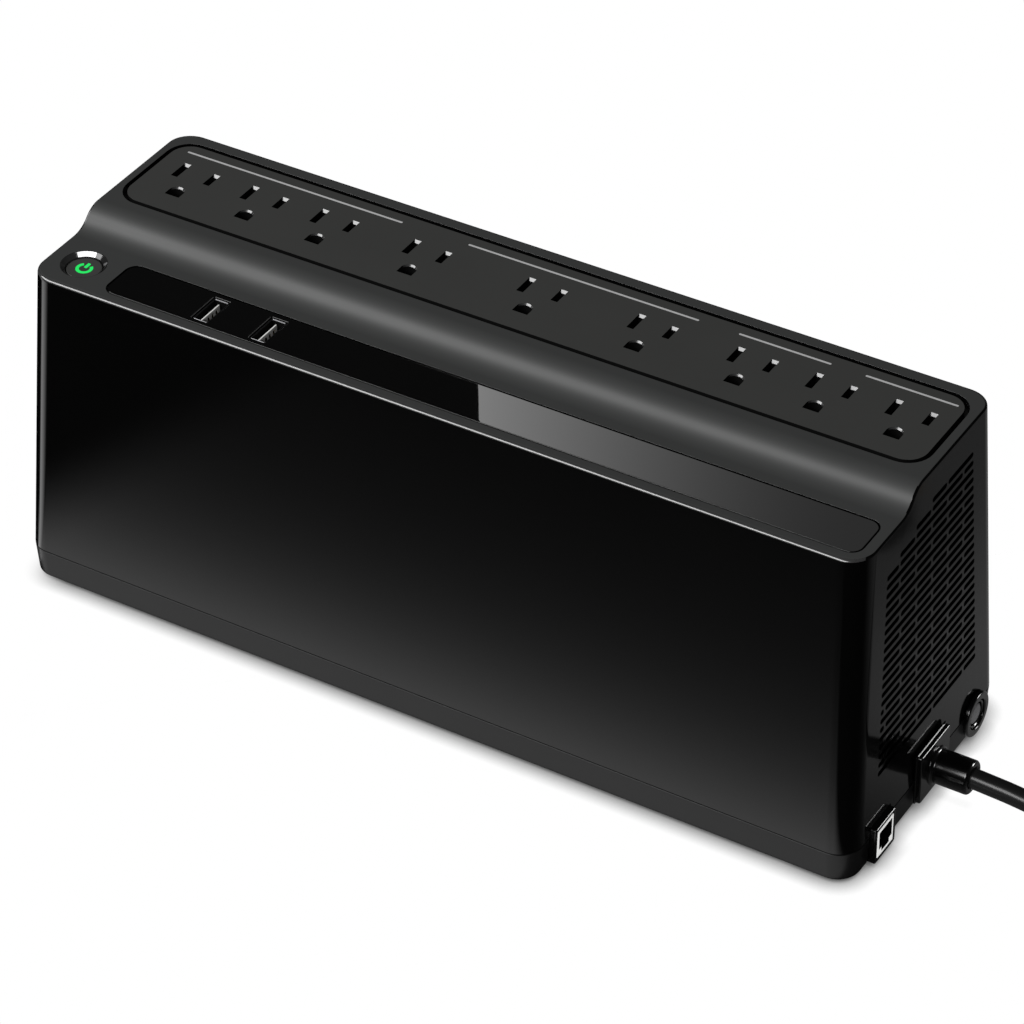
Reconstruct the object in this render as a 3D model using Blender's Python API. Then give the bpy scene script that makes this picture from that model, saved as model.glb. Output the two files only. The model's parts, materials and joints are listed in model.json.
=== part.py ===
"""Uninterruptible power supply: a desk unit with nine outlets, two USB ports and a battery bay.

Frame: +Z up, +X to the right along the long side, the glossy front faces -Y.
The origin is on the base's underside, in the middle of the outlet row; the feet reach below it.
Lengths are in metres, and every height here is measured from the table, until build() lowers the
whole unit. The casing's two ends lean inwards by different amounts.
"""
import math

import bmesh
import bpy
from mathutils import Matrix, Vector

MM = 0.001
GAP = 0.3 * MM                     # clearance between neighbouring pieces

# ---- casing ----
PARTING_Z = 13.0 * MM              # seam between base tray and upper housing
SHELF_Z = 121.8 * MM               # low front shelf with the button and the strip
DECK_Z = 128.3 * MM                # outlet level
END_X = (-162.1 * MM, 163.2 * MM)  # left and right end at the seam
HALF_DEPTH = 53.5 * MM             # at the seam
END_LEAN = (0.0328, 0.0561)        # inward run per height at the left and the right end
FRONT_LEAN = 0.1066
BACK_LEAN = 0.0277
CORNER_R = 9.0 * MM
WALL = 2.6 * MM
TOP_WALL = 3.0 * MM
S_CURVE_START_Y = -15.4 * MM       # the shelf rises to the deck between these two
S_CURVE_END_Y = -0.7 * MM
BASE_BOTTOM_Z = 1.0 * MM
FLOOR_TOP_Z = 4.6 * MM
BASE_EDGE = 0.9 * MM               # bevel round the base's lower edge

# ---- outlet deck ----
DECK_X = (-154.6 * MM, 152.7 * MM)
DECK_Y = (3.6 * MM, 44.5 * MM)
DECK_R = 8.6 * MM
DECK_BOTTOM_Z = 122.0 * MM
DECK_FLANGE = 1.2 * MM
GROOVE = 0.4 * MM                  # visible gap round an inset panel
OUTLETS_X = [x * MM for x in (-137.6, -109.1, -80.5, -43.5, 1.5, 43.5, 80.5, 109.1, 137.6)]
BATTERY_OUTLETS = 6                # the first ones from the left are battery backed
BLADE_Y = 28.3 * MM
BLADE_PITCH = 12.7 * MM
GROUND_OFFSET = 11.9 * MM
NEUTRAL_SLOT = (2.6 * MM, 8.7 * MM)
LIVE_SLOT = (2.6 * MM, 7.1 * MM)
GROUND_R = 2.9 * MM

# ---- front shelf ----
STRIP_X = (-130.5 * MM, 152.5 * MM)
STRIP_Y = (-37.3 * MM, -19.7 * MM)
STRIP_R = 4.0 * MM
STRIP_THICK = 1.2 * MM
STRIP_POCKET = 1.6 * MM
USB_X = (-92.6 * MM, -69.7 * MM)
SHELF_MID_Y = -28.5 * MM
USB_HOLE = (6.6 * MM, 13.7 * MM)
USB_SHELL = (5.9 * MM, 13.1 * MM)
USB_SHELL_WALL = 0.45 * MM
BUTTON_X, BUTTON_Y = -145.0 * MM, -28.0 * MM
BUTTON_HOLE_R = 6.6 * MM
BUTTON_DISH = 1.4 * MM             # width and depth of the cone round the button
BUTTON_R = 6.2 * MM
BUTTON_TOP_Z = 120.2 * MM
SYMBOL_R = 2.45 * MM
SYMBOL_WIDTH = 1.15 * MM

# ---- end vents ----
VENT_ROWS = 26
VENT_PITCH_Z = 3.29 * MM
VENT_TOP_Z = 116.4 * MM
VENT_SLOT_H = 1.9 * MM
VENT_BRIDGE = 1.2 * MM             # solid left between two slots of one row
VENT_BRIDGE_Y = 26.5 * MM          # rearmost column of bridges
VENT_PITCH_Y = 11.1 * MM
VENT_BACK_Y = 33.4 * MM            # rear end of the top row
VENT_FRONT_Y = -25.2 * MM          # front end of the top full row

# ---- right end fittings ----
CORD_Y, CORD_Z = 3.0 * MM, 12.3 * MM
RELIEF_Y = (-9.3 * MM, 12.5 * MM)
RELIEF_Z = (3.4 * MM, 23.8 * MM)
RELIEF_FACE_X = 165.6 * MM
BOOT_R = 6.0 * MM
BOOT_END_X = 178.8 * MM
CORD_R = 3.5 * MM
BREAKER_Y, BREAKER_Z = 34.9 * MM, 10.1 * MM
BREAKER_COLLAR_R = 8.2 * MM
BREAKER_FACE_X = 165.0 * MM
BREAKER_NECK_R = 5.2 * MM
BREAKER_BUTTON_R = 3.9 * MM
PORT_Y = (-39.8 * MM, -25.6 * MM)
PORT_Z = (1.6 * MM, 16.0 * MM)
PORT_FACE_X = 165.3 * MM
PLUG_STATIONS = (                  # distance along the plug, half width, half height
    (0 * MM, 5.0 * MM, 5.0 * MM),
    (4 * MM, 6.5 * MM, 6.5 * MM),
    (12 * MM, 11.0 * MM, 10.0 * MM),
    (26 * MM, 13.0 * MM, 12.8 * MM),
    (30 * MM, 13.0 * MM, 12.8 * MM),
)

# ---- inside ----
BATTERY_SIZE = (151 * MM, 65 * MM, 94 * MM)
BATTERY_MIN_X = -155 * MM
BATTERY_BOTTOM_Z = 4.1 * MM
DOOR_BOTTOM_Z, DOOR_TOP_Z = 1.2 * MM, 3.7 * MM
DOOR_HALF_Y = 36.0 * MM
DOOR_RAIL = 2.0 * MM
DOOR_END_X = -2.0 * MM
BOARD_Y = 42.2 * MM                # back face of the upright main board
BOARD_GUIDES_X = (23 * MM, 121 * MM)

COLOURS = {                        # base colour, roughness, metallic
    "housing": ((0.010, 0.010, 0.011), 0.18, 0.0),
    "deck": ((0.035, 0.036, 0.036), 0.55, 0.0),
    "gloss_strip": ((0.006, 0.006, 0.006), 0.12, 0.0),
    "base": ((0.022, 0.022, 0.023), 0.45, 0.0),
    "rubber": ((0.012, 0.012, 0.012), 0.85, 0.0),
    "green_light": ((0.02, 0.62, 0.12), 0.35, 0.0),
    "steel": ((0.55, 0.56, 0.57), 0.3, 1.0),
    "brass": ((0.72, 0.52, 0.22), 0.3, 1.0),
    "copper": ((0.45, 0.17, 0.08), 0.4, 1.0),
    "aluminium": ((0.70, 0.70, 0.72), 0.4, 1.0),
    "circuit_board": ((0.02, 0.16, 0.07), 0.5, 0.0),
    "white_plastic": ((0.72, 0.72, 0.70), 0.45, 0.0),
    "grey_plastic": ((0.16, 0.16, 0.17), 0.5, 0.0),
    "blue_plastic": ((0.03, 0.10, 0.35), 0.45, 0.0),
    "red_plastic": ((0.45, 0.02, 0.02), 0.45, 0.0),
    "core_steel": ((0.16, 0.16, 0.17), 0.5, 1.0),
}


# ---------------------------------------------------------------- helpers

def material(slot):
    """The Principled material for one slot, made on first use."""
    found = bpy.data.materials.get(slot)
    if found:
        return found
    colour, roughness, metallic = COLOURS[slot]
    made = bpy.data.materials.new(slot)
    made.use_nodes = True
    shader = made.node_tree.nodes["Principled BSDF"]
    shader.inputs["Base Color"].default_value = (*colour, 1.0)
    shader.inputs["Roughness"].default_value = roughness
    shader.inputs["Metallic"].default_value = metallic
    made.diffuse_color = (*colour, 1.0)
    return made


def make_object(name, bm, slot, origin=(0, 0, 0)):
    """Turn a bmesh in world coordinates into an object whose origin is at the given point."""
    bmesh.ops.recalc_face_normals(bm, faces=bm.faces)
    bmesh.ops.translate(bm, vec=-Vector(origin), verts=bm.verts)
    mesh = bpy.data.meshes.new(name)
    bm.to_mesh(mesh)
    bm.free()
    mesh.materials.append(material(slot))
    obj = bpy.data.objects.new(name, mesh)
    obj.location = origin
    bpy.context.collection.objects.link(obj)
    return obj


def combine(target, tool, operation="DIFFERENCE"):
    """Cut the tool out of the target, or join it on, and remove the tool."""
    modifier = target.modifiers.new("cut", "BOOLEAN")
    modifier.operation = operation
    modifier.solver = "EXACT"
    modifier.object = tool
    bpy.context.view_layer.update()
    result = bpy.data.meshes.new_from_object(target.evaluated_get(bpy.context.evaluated_depsgraph_get()))
    target.modifiers.clear()
    target.data = result
    bpy.data.objects.remove(tool)
    return target


def cut(target, *tools):
    for tool in tools:
        combine(target, tool, "DIFFERENCE")
    return target


def join(target, *tools):
    for tool in tools:
        combine(target, tool, "UNION")
    return target


def smooth(obj, angle=math.radians(35)):
    obj.data.shade_smooth()
    obj.data.set_sharp_from_angle(angle=angle)
    return obj


def arc(centre, radius, start, end, steps):
    """Points on an arc, both ends included; angles in degrees."""
    angles = [math.radians(start + (end - start) * i / steps) for i in range(steps + 1)]
    return [(centre[0] + radius * math.cos(a), centre[1] + radius * math.sin(a)) for a in angles]


def rounded_rectangle(x, y, radius, steps=5):
    """Counter-clockwise outline of the rectangle x[0]..x[1], y[0]..y[1] with round corners."""
    corners = (
        ((x[1] - radius, y[0] + radius), -90),
        ((x[1] - radius, y[1] - radius), 0),
        ((x[0] + radius, y[1] - radius), 90),
        ((x[0] + radius, y[0] + radius), 180),
    )
    points = []
    for centre, start in corners:
        points += arc(centre, radius, start, start + 90, steps)
    return points


def loft(name, sections, slot, origin=(0, 0, 0)):
    """Skin closed outlines of equal point count; each section is (height, outline), along +Z."""
    bm = bmesh.new()
    rings = [[bm.verts.new((x, y, z)) for x, y in outline] for z, outline in sections]
    bm.faces.new(list(reversed(rings[0])))
    bm.faces.new(rings[-1])
    for low, high in zip(rings, rings[1:]):
        for i in range(len(low)):
            j = (i + 1) % len(low)
            bm.faces.new((low[i], low[j], high[j], high[i]))
    return make_object(name, bm, slot, origin)


def prism(name, outline, z, slot="housing", origin=(0, 0, 0)):
    return loft(name, [(z[0], outline), (z[1], outline)], slot, origin)


def box(name, x, y, z, slot="housing", origin=(0, 0, 0)):
    outline = [(x[0], y[0]), (x[1], y[0]), (x[1], y[1]), (x[0], y[1])]
    return prism(name, outline, z, slot, origin)


def boxes(name, spans):
    """One cutter object holding many separate boxes."""
    bm = bmesh.new()
    for x, y, z in spans:
        size = Matrix.Diagonal((x[1] - x[0], y[1] - y[0], z[1] - z[0], 1))
        middle = Matrix.Translation(((x[0] + x[1]) / 2, (y[0] + y[1]) / 2, (z[0] + z[1]) / 2))
        bmesh.ops.create_cube(bm, size=1, matrix=middle @ size)
    return make_object(name, bm, "housing")


def bar_along_x(name, outline_yz, x, slot="housing", origin=(0, 0, 0)):
    """Extrude an outline given as (y, z) points along X."""
    bm = bmesh.new()
    rings = [[bm.verts.new((end, y, z)) for y, z in outline_yz] for end in x]
    bm.faces.new(rings[0])
    bm.faces.new(list(reversed(rings[1])))
    count = len(outline_yz)
    for i in range(count):
        j = (i + 1) % count
        bm.faces.new((rings[0][i], rings[0][j], rings[1][j], rings[1][i]))
    return make_object(name, bm, slot, origin)


def turned(name, profile, centre, axis, slot, segments=24, origin=(0, 0, 0)):
    """Turn a closed (radius, distance) profile about an axis through centre.

    Profile points with radius 0 lie on the axis. axis is "X" or "Z".
    """
    bm = bmesh.new()
    rings = []
    for radius, along in profile:
        count = 1 if radius == 0 else segments
        ring = []
        for i in range(count):
            angle = 2 * math.pi * i / segments
            across = (radius * math.cos(angle), radius * math.sin(angle))
            if axis == "X":
                point = (centre[0] + along, centre[1] + across[0], centre[2] + across[1])
            else:
                point = (centre[0] + across[0], centre[1] + across[1], centre[2] + along)
            ring.append(bm.verts.new(point))
        rings.append(ring)
    pairs = list(zip(rings, rings[1:]))
    if profile[0][0] > 0:
        pairs.append((rings[-1], rings[0]))
    for ring, following in pairs:
        for i in range(segments):
            j = (i + 1) % segments
            if len(ring) == 1:
                bm.faces.new((ring[0], following[i], following[j]))
            elif len(following) == 1:
                bm.faces.new((ring[i], ring[j], following[0]))
            else:
                bm.faces.new((ring[i], ring[j], following[j], following[i]))
    return smooth(make_object(name, bm, slot, origin))


def rod(name, centre, axis, radius, along, slot="housing", segments=24):
    """A plain cylinder from along[0] to along[1] on the axis through centre."""
    profile = [(0, along[0]), (radius, along[0]), (radius, along[1]), (0, along[1])]
    return turned(name, profile, centre, axis, slot, segments)


def place_part(obj, place, turn):
    """Turn an object built about the world origin and move it to its place."""
    obj.data.transform(Matrix.Translation(place) @ turn)
    return obj


def tube_along(name, path, radius, slot, sides=12):
    """A round cable that follows a list of points."""
    bm = bmesh.new()
    points = [Vector(p) for p in path]
    normal = None
    rings = []
    for i, point in enumerate(points):
        ahead = points[min(i + 1, len(points) - 1)]
        behind = points[max(i - 1, 0)]
        tangent = (ahead - behind).normalized()
        if normal is None:
            reference = Vector((0, 0, 1)) if abs(tangent.z) < 0.9 else Vector((1, 0, 0))
            normal = tangent.cross(reference).normalized()
        normal = (normal - tangent * normal.dot(tangent)).normalized()
        other = tangent.cross(normal)
        ring = []
        for k in range(sides):
            angle = 2 * math.pi * k / sides
            ring.append(bm.verts.new(point + radius * (math.cos(angle) * normal + math.sin(angle) * other)))
        rings.append(ring)
    bm.faces.new(list(reversed(rings[0])))
    bm.faces.new(rings[-1])
    for low, high in zip(rings, rings[1:]):
        for k in range(sides):
            j = (k + 1) % sides
            bm.faces.new((low[k], low[j], high[j], high[k]))
    return smooth(make_object(name, bm, slot), math.radians(50))


def bezier(start, start_handle, end_handle, end, steps):
    """Points along one cubic curve, the end included and the start left out."""
    a, b, c, d = Vector(start), Vector(start_handle), Vector(end_handle), Vector(end)
    points = []
    for i in range(1, steps + 1):
        t = i / steps
        u = 1 - t
        points.append(u ** 3 * a + 3 * u * u * t * b + 3 * u * t * t * c + t ** 3 * d)
    return points


# ---------------------------------------------------------------- casing

def body_outline(z, inset=0.0):
    """Plan outline of the leaning, drafted body at height z, moved inwards by inset."""
    rise = z - PARTING_Z
    left = END_X[0] + END_LEAN[0] * rise + inset
    right = END_X[1] - END_LEAN[1] * rise - inset
    front = -HALF_DEPTH + FRONT_LEAN * rise + inset
    back = HALF_DEPTH - BACK_LEAN * rise - inset
    return rounded_rectangle((left, right), (front, back), CORNER_R - inset)


def top_profile(drop):
    """(y, z) points of the top surface from front to back, lowered by drop."""
    run = S_CURVE_END_Y - S_CURVE_START_Y
    rise = DECK_Z - SHELF_Z
    radius = (run ** 2 + rise ** 2) / (4 * rise)
    turn = math.degrees(2 * math.atan2(rise, run))
    lower = arc((S_CURVE_START_Y, SHELF_Z - drop + radius), radius, -90, -90 + turn, 5)
    upper = arc((S_CURVE_END_Y, DECK_Z - drop - radius), radius, 90 + turn, 90, 5)
    return [(-0.08, SHELF_Z - drop)] + lower + upper[1:] + [(0.08, DECK_Z - drop)]


def space_above(drop):
    """Everything above the top surface, as a cutter."""
    outline = top_profile(drop) + [(0.08, 0.16), (-0.08, 0.16)]
    return bar_along_x("space_above", list(reversed(outline)), (-0.2, 0.2))


def vent_slots(side):
    """Staggered rows of slots through one end wall; side is +1 on the right, -1 on the left."""
    spans = []
    x = sorted((side * 0.150, side * 0.170))
    for row in range(VENT_ROWS):
        z = VENT_TOP_Z - row * VENT_PITCH_Z
        drop = VENT_TOP_Z - z
        front = VENT_FRONT_Y - FRONT_LEAN * drop
        back = VENT_BACK_Y + BACK_LEAN * drop
        if row < 3:
            front = VENT_BRIDGE_Y - (2 + row) * VENT_PITCH_Y + VENT_BRIDGE / 2
        bridges = [VENT_BRIDGE_Y - (2 * k + (row + 1) % 2) * VENT_PITCH_Y for k in range(4)]
        edges = [back] + [b for b in bridges if front + 2 * MM < b < back - 2 * MM] + [front]
        for i, (high, low) in enumerate(zip(edges, edges[1:])):
            high -= VENT_BRIDGE / 2 if i > 0 else 0
            low += VENT_BRIDGE / 2 if i < len(edges) - 2 else 0
            spans.append((x, (low, high), (z - VENT_SLOT_H / 2, z + VENT_SLOT_H / 2)))
    return boxes("vent_slots", spans)


SCREW_PLACES = [(sx * 138 * MM, y) for sx in (-1, 1) for y in (-46.6 * MM, 46.9 * MM)]
FOOT_PLACES = [(sx * 151 * MM, sy * 45.0 * MM) for sx in (-1, 1) for sy in (-1, 1)]
POST_TOP_Z = 38 * MM


def wall_openings():
    """Cutters for the cord, breaker and data port in the right end, for base and housing alike."""
    inset = 2 * MM - GAP
    cord = box("cord_opening", (0.155, 0.170), (RELIEF_Y[0] + inset, RELIEF_Y[1] - inset),
               (RELIEF_Z[0] + inset, RELIEF_Z[1] - inset))
    centre = (0, BREAKER_Y, BREAKER_Z)
    breaker = rod("breaker_opening", centre, "X", BREAKER_NECK_R + GAP, (0.155, 0.170))
    port = box("port_opening", (0.155, 0.170), (PORT_Y[0] - GAP, PORT_Y[1] + GAP), (-0.01, PORT_Z[1] + GAP))
    return cord, breaker, port


def button_opening():
    """Cutter for the button's hole, with a cone at its mouth."""
    wide = BUTTON_HOLE_R + BUTTON_DISH
    profile = [(0, 0.110), (BUTTON_HOLE_R, 0.110), (BUTTON_HOLE_R, SHELF_Z - BUTTON_DISH), (wide, SHELF_Z),
               (wide, 0.125), (0, 0.125)]
    return turned("button_opening", profile, (BUTTON_X, BUTTON_Y, 0), "Z", "housing", 32)


def upper_housing():
    over = DECK_Z + 2.7 * MM
    sections = [(PARTING_Z, body_outline(PARTING_Z)), (over, body_outline(over))]
    outer = loft("upper_housing", sections, "housing")
    cut(outer, space_above(0))
    low = PARTING_Z - 1 * MM
    sections = [(low, body_outline(low, WALL)), (over, body_outline(over, WALL))]
    inner = loft("cavity", sections, "housing")
    cut(inner, space_above(TOP_WALL))
    cut(outer, inner)
    opening = rounded_rectangle((DECK_X[0] - GROOVE, DECK_X[1] + GROOVE),
                                (DECK_Y[0] - GROOVE, DECK_Y[1] + GROOVE), DECK_R + GROOVE)
    pocket = rounded_rectangle((STRIP_X[0] - GROOVE, STRIP_X[1] + GROOVE),
                               (STRIP_Y[0] - GROOVE, STRIP_Y[1] + GROOVE), STRIP_R + GROOVE, 4)
    usb = [((x - 3.7 * MM, x + 3.7 * MM), (SHELF_MID_Y - 7.2 * MM, SHELF_MID_Y + 7.2 * MM), (0.110, 0.125))
           for x in USB_X]
    cut(outer,
        prism("deck_opening", opening, (0.120, 0.135)),
        prism("strip_pocket", pocket, (SHELF_Z - STRIP_POCKET, 0.125)),
        boxes("usb_openings", usb),
        button_opening(),
        vent_slots(1), vent_slots(-1), *wall_openings())
    for x, y in SCREW_PLACES:
        post = rod("post", (x, y, 0), "Z", 4.5 * MM, (PARTING_Z + 0.5 * MM, POST_TOP_Z), segments=12)
        pilot = rod("pilot", (x, y, 0), "Z", 1.8 * MM, (0, POST_TOP_Z - 8 * MM), segments=8)
        join(outer, post)
        cut(outer, pilot)
    return smooth(outer, math.radians(20))


def outlet_holes():
    """Cutters for the two blade slots and the ground hole of every outlet."""
    slots = []
    z = (0.118, 0.132)
    for x in OUTLETS_X:
        for side, (width, length) in ((-1, NEUTRAL_SLOT), (1, LIVE_SLOT)):
            middle = x + side * BLADE_PITCH / 2
            slots.append(((middle - width / 2, middle + width / 2),
                          (BLADE_Y - length / 2, BLADE_Y + length / 2), z))
    cutters = [boxes("blade_slots", slots)]
    for x in OUTLETS_X:
        centre = (x, BLADE_Y - GROUND_OFFSET)
        outline = arc(centre, GROUND_R, 0, 180, 6)
        outline += [(x - GROUND_R, centre[1] - GROUND_R), (x + GROUND_R, centre[1] - GROUND_R)]
        cutters.append(prism("ground_hole", outline, z))
    return cutters


def outlet_deck():
    panel = rounded_rectangle(DECK_X, DECK_Y, DECK_R)
    flange = rounded_rectangle((DECK_X[0] - DECK_FLANGE, DECK_X[1] + DECK_FLANGE),
                               (DECK_Y[0] - DECK_FLANGE, DECK_Y[1] + DECK_FLANGE), DECK_R + DECK_FLANGE)
    step = DECK_Z - TOP_WALL - GAP
    sections = [(DECK_BOTTOM_Z, flange), (step, flange), (step, panel), (DECK_Z, panel)]
    deck = loft("outlet_deck", sections, "deck")
    return smooth(cut(deck, *outlet_holes()), math.radians(20))


def display_strip():
    outline = rounded_rectangle(STRIP_X, STRIP_Y, STRIP_R, 4)
    top = SHELF_Z - 0.1 * MM
    strip = prism("display_strip", outline, (top - STRIP_THICK, top), "gloss_strip")
    holes = [((x - USB_HOLE[0] / 2, x + USB_HOLE[0] / 2),
              (SHELF_MID_Y - USB_HOLE[1] / 2, SHELF_MID_Y + USB_HOLE[1] / 2), (0.115, 0.125)) for x in USB_X]
    return smooth(cut(strip, boxes("usb_holes", holes)), math.radians(20))


def door_channel():
    """T-shaped channel that the battery door slides in, open at the left end, and the bay above it."""
    lower = DOOR_HALF_Y + GAP
    upper = lower + DOOR_RAIL
    step, roof = DOOR_BOTTOM_Z + 1.1 * MM, DOOR_TOP_Z + GAP
    outline = [(-lower, 0), (lower, 0), (lower, step), (upper, step), (upper, roof),
               (-upper, roof), (-upper, step), (-lower, step)]
    channel = bar_along_x("door_channel", outline, (-0.175, DOOR_END_X + GAP))
    side = upper - 1 * MM
    bay = box("bay_opening", (BATTERY_MIN_X - 2 * MM, DOOR_END_X - 1 * MM), (-side, side),
              (DOOR_TOP_Z, FLOOR_TOP_Z + 2 * MM))
    return channel, bay


def base_tray():
    top = PARTING_Z - GAP
    bottom = BASE_BOTTOM_Z
    sections = [(bottom, body_outline(PARTING_Z, BASE_EDGE + 0.6 * MM)),
                (bottom + BASE_EDGE, body_outline(PARTING_Z, 0.6 * MM)),
                (top, body_outline(PARTING_Z))]
    tray = loft("base_tray", sections, "base")
    cut(tray, prism("bay", body_outline(PARTING_Z, WALL), (FLOOR_TOP_Z, 0.03)))
    join(tray, box("partition", (DOOR_END_X + 2 * MM, DOOR_END_X + 4 * MM), (-47 * MM, 40 * MM),
                   (3 * MM, 40 * MM)))
    for x in BOARD_GUIDES_X:
        join(tray, box("board_guide", (x - 3 * MM, x + 3 * MM), (BOARD_Y - 3.6 * MM, BOARD_Y + 2 * MM),
                       (3 * MM, 10 * MM)))
    cut(tray, box("board_slot", (10 * MM, 135 * MM), (BOARD_Y - 1.6 * MM - GAP, BOARD_Y + GAP),
                  (6 * MM - GAP, 11 * MM)))
    for x, y in SCREW_PLACES:
        join(tray, rod("boss", (x, y, 0), "Z", 4.5 * MM, (3 * MM, top), segments=12))
    bore = [(0, -1 * MM), (3.6 * MM, -1 * MM), (3.6 * MM, 6.5 * MM), (1.8 * MM, 6.5 * MM),
            (1.8 * MM, 20 * MM), (0, 20 * MM)]
    for x, y in SCREW_PLACES:
        cut(tray, turned("screw_way", bore, (x, y, 0), "Z", "base", 10))
    for x, y in FOOT_PLACES:
        cut(tray, rod("foot_recess", (x, y, 0), "Z", 5.4 * MM, (-1 * MM, 2.6 * MM), segments=20))
    cut(tray, *door_channel(), *wall_openings())
    return smooth(tray, math.radians(20))


def battery_door():
    """T-section cover under the battery that slides off to the left."""
    wide = DOOR_HALF_Y + DOOR_RAIL
    flange = DOOR_TOP_Z - 1.1 * MM
    narrow = DOOR_HALF_Y
    outline = [(-narrow, DOOR_BOTTOM_Z), (narrow, DOOR_BOTTOM_Z), (narrow, flange), (wide, flange),
               (wide, DOOR_TOP_Z), (-wide, DOOR_TOP_Z), (-wide, flange), (-narrow, flange)]
    left = END_X[0] + 0.8 * MM
    door = bar_along_x("battery_door", outline, (left, DOOR_END_X), "base", (left, 0, DOOR_BOTTOM_Z))
    grip_z = (0, DOOR_BOTTOM_Z + 0.6 * MM)
    starts = [left + (4 + 3 * i) * MM for i in range(5)]
    grips = [((start, start + 1.5 * MM), (-8 * MM, 8 * MM), grip_z) for start in starts]
    return cut(door, boxes("grips", grips))


def feet_and_screws():
    names = ("left_front", "left_rear", "right_front", "right_rear")
    for name, (x, y) in zip(names, FOOT_PLACES):
        profile = [(0, 0), (4.4 * MM, 0), (5.0 * MM, 0.5 * MM), (5.0 * MM, 2.3 * MM), (0, 2.3 * MM)]
        turned("foot_" + name, profile, (x, y, 0), "Z", "rubber", 20)
    for name, (x, y) in zip(names, SCREW_PLACES):
        profile = [(0, 3.2 * MM), (1.0 * MM, 3.2 * MM), (1.0 * MM, 2.4 * MM), (3.0 * MM, 2.4 * MM),
                   (3.2 * MM, 2.9 * MM), (3.2 * MM, 6.2 * MM - GAP), (1.5 * MM, 6.2 * MM - GAP),
                   (1.5 * MM, 26 * MM), (0, 27.2 * MM)]
        turned("case_screw_" + name, profile, (x, y, 0), "Z", "steel", 12)


# ---------------------------------------------------------------- shelf controls

def power_symbol(name, grow, z):
    """Open ring and bar of the standard power symbol, widened by grow on each side."""
    half = SYMBOL_WIDTH / 2 + grow
    extra = math.degrees(grow / SYMBOL_R)
    start, end = 90 + 38 - extra, 450 - 38 + extra
    centre = (BUTTON_X, BUTTON_Y)
    outline = arc(centre, SYMBOL_R + half, start, end, 14)
    outline += list(reversed(arc(centre, SYMBOL_R - half, start, end, 14)))
    ring = prism(name, outline, z, "green_light")
    bar = box("bar", (BUTTON_X - half, BUTTON_X + half),
              (BUTTON_Y + 0.5 * MM - grow, BUTTON_Y + 3.2 * MM + grow), z)
    return ring, bar


def power_button():
    centre = (BUTTON_X, BUTTON_Y, 0)
    origin = (BUTTON_X, BUTTON_Y, BUTTON_TOP_Z)
    roof = BUTTON_TOP_Z - 1.0 * MM
    profile = [(5.2 * MM, 116.4 * MM), (8.6 * MM, 116.4 * MM), (8.6 * MM, 118.3 * MM), (BUTTON_R, 118.3 * MM),
               (BUTTON_R, BUTTON_TOP_Z - 0.5 * MM), (BUTTON_R - 0.5 * MM, BUTTON_TOP_Z), (0, BUTTON_TOP_Z)]
    profile = [(0, roof), (5.2 * MM, roof)] + profile
    cap = turned("power_button", profile, centre, "Z", "deck", 32, origin)
    cut(cap, *power_symbol("symbol_slot", 0.12 * MM, (roof - 1 * MM, BUTTON_TOP_Z + 1 * MM)))
    guide = turned("button_light_guide",
                   [(0, 113.4 * MM), (2.0 * MM, 113.4 * MM), (2.0 * MM, 117.2 * MM), (4.8 * MM, 118.2 * MM),
                    (4.8 * MM, roof - GAP), (0, roof - GAP)],
                   centre, "Z", "green_light", 24, origin)
    join(guide, *power_symbol("symbol", 0, (roof - 1 * MM, BUTTON_TOP_Z - 0.05 * MM)))


def shelf_boards():
    """Boards under the shelf: the button's switch and the USB charger."""
    box("control_board", (-153 * MM, -127 * MM), (-38 * MM, -14 * MM), (106.4 * MM, 108.0 * MM),
        "circuit_board")
    half = 3.1 * MM
    box("power_switch", (BUTTON_X - half, BUTTON_X + half), (BUTTON_Y - half, BUTTON_Y + half),
        (108.3 * MM, 111.4 * MM), "grey_plastic")
    box("usb_charger_board", (-108 * MM, -54 * MM), (-37 * MM, -14 * MM), (103.0 * MM, 104.6 * MM),
        "circuit_board")


def usb_port(side, x):
    top, bottom = SHELF_Z - 0.4 * MM, 105 * MM
    half_x, half_y = USB_SHELL[0] / 2, USB_SHELL[1] / 2
    outer = ((x - half_x, x + half_x), (SHELF_MID_Y - half_y, SHELF_MID_Y + half_y), (bottom, top))
    shell = box("usb_shell_" + side, *outer, "steel")
    w = USB_SHELL_WALL
    cut(shell, box("mouth", (x - half_x + w, x + half_x - w),
                   (SHELF_MID_Y - half_y + w, SHELF_MID_Y + half_y - w), (bottom + 1.5 * MM, top + 5 * MM)))
    middle = x - 0.7 * MM
    box("usb_tongue_" + side, (middle - 0.9 * MM, middle + 0.9 * MM),
        (SHELF_MID_Y - 5.55 * MM, SHELF_MID_Y + 5.55 * MM), (bottom + 1.8 * MM, top - 1.2 * MM),
        "white_plastic")


# ---------------------------------------------------------------- outlet contacts

def bus_bar(name, outlets, y_strip, offset, y_contact, leaf_length, slot="brass"):
    """A strip along X with a pair of spring leaves under each outlet's hole."""
    z = (112.0 * MM, 112.8 * MM)
    first, last = outlets[0] + offset, outlets[-1] + offset
    bus = box(name, (first - 4 * MM, last + 4 * MM), y_strip, z, slot)
    leaf_y = (y_contact - leaf_length / 2, y_contact + leaf_length / 2)
    reach = (min(y_strip[0], leaf_y[0]) + 0.1 * MM, max(y_strip[1], leaf_y[1]) - 0.1 * MM)
    spans = []
    for x in outlets:
        for edge in (-1, 1):
            middle = x + offset + edge * 1.35 * MM
            spans.append(((middle - 0.35 * MM, middle + 0.35 * MM), leaf_y, (112.3 * MM, 120.5 * MM)))
    within = (z[0] + 0.05 * MM, z[1] - 0.05 * MM)
    fingers = [((x + offset - 2.2 * MM, x + offset + 2.2 * MM), reach, within) for x in outlets]
    join(bus, boxes("fingers", fingers))
    join(bus, boxes("leaves", spans))
    return bus


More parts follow.
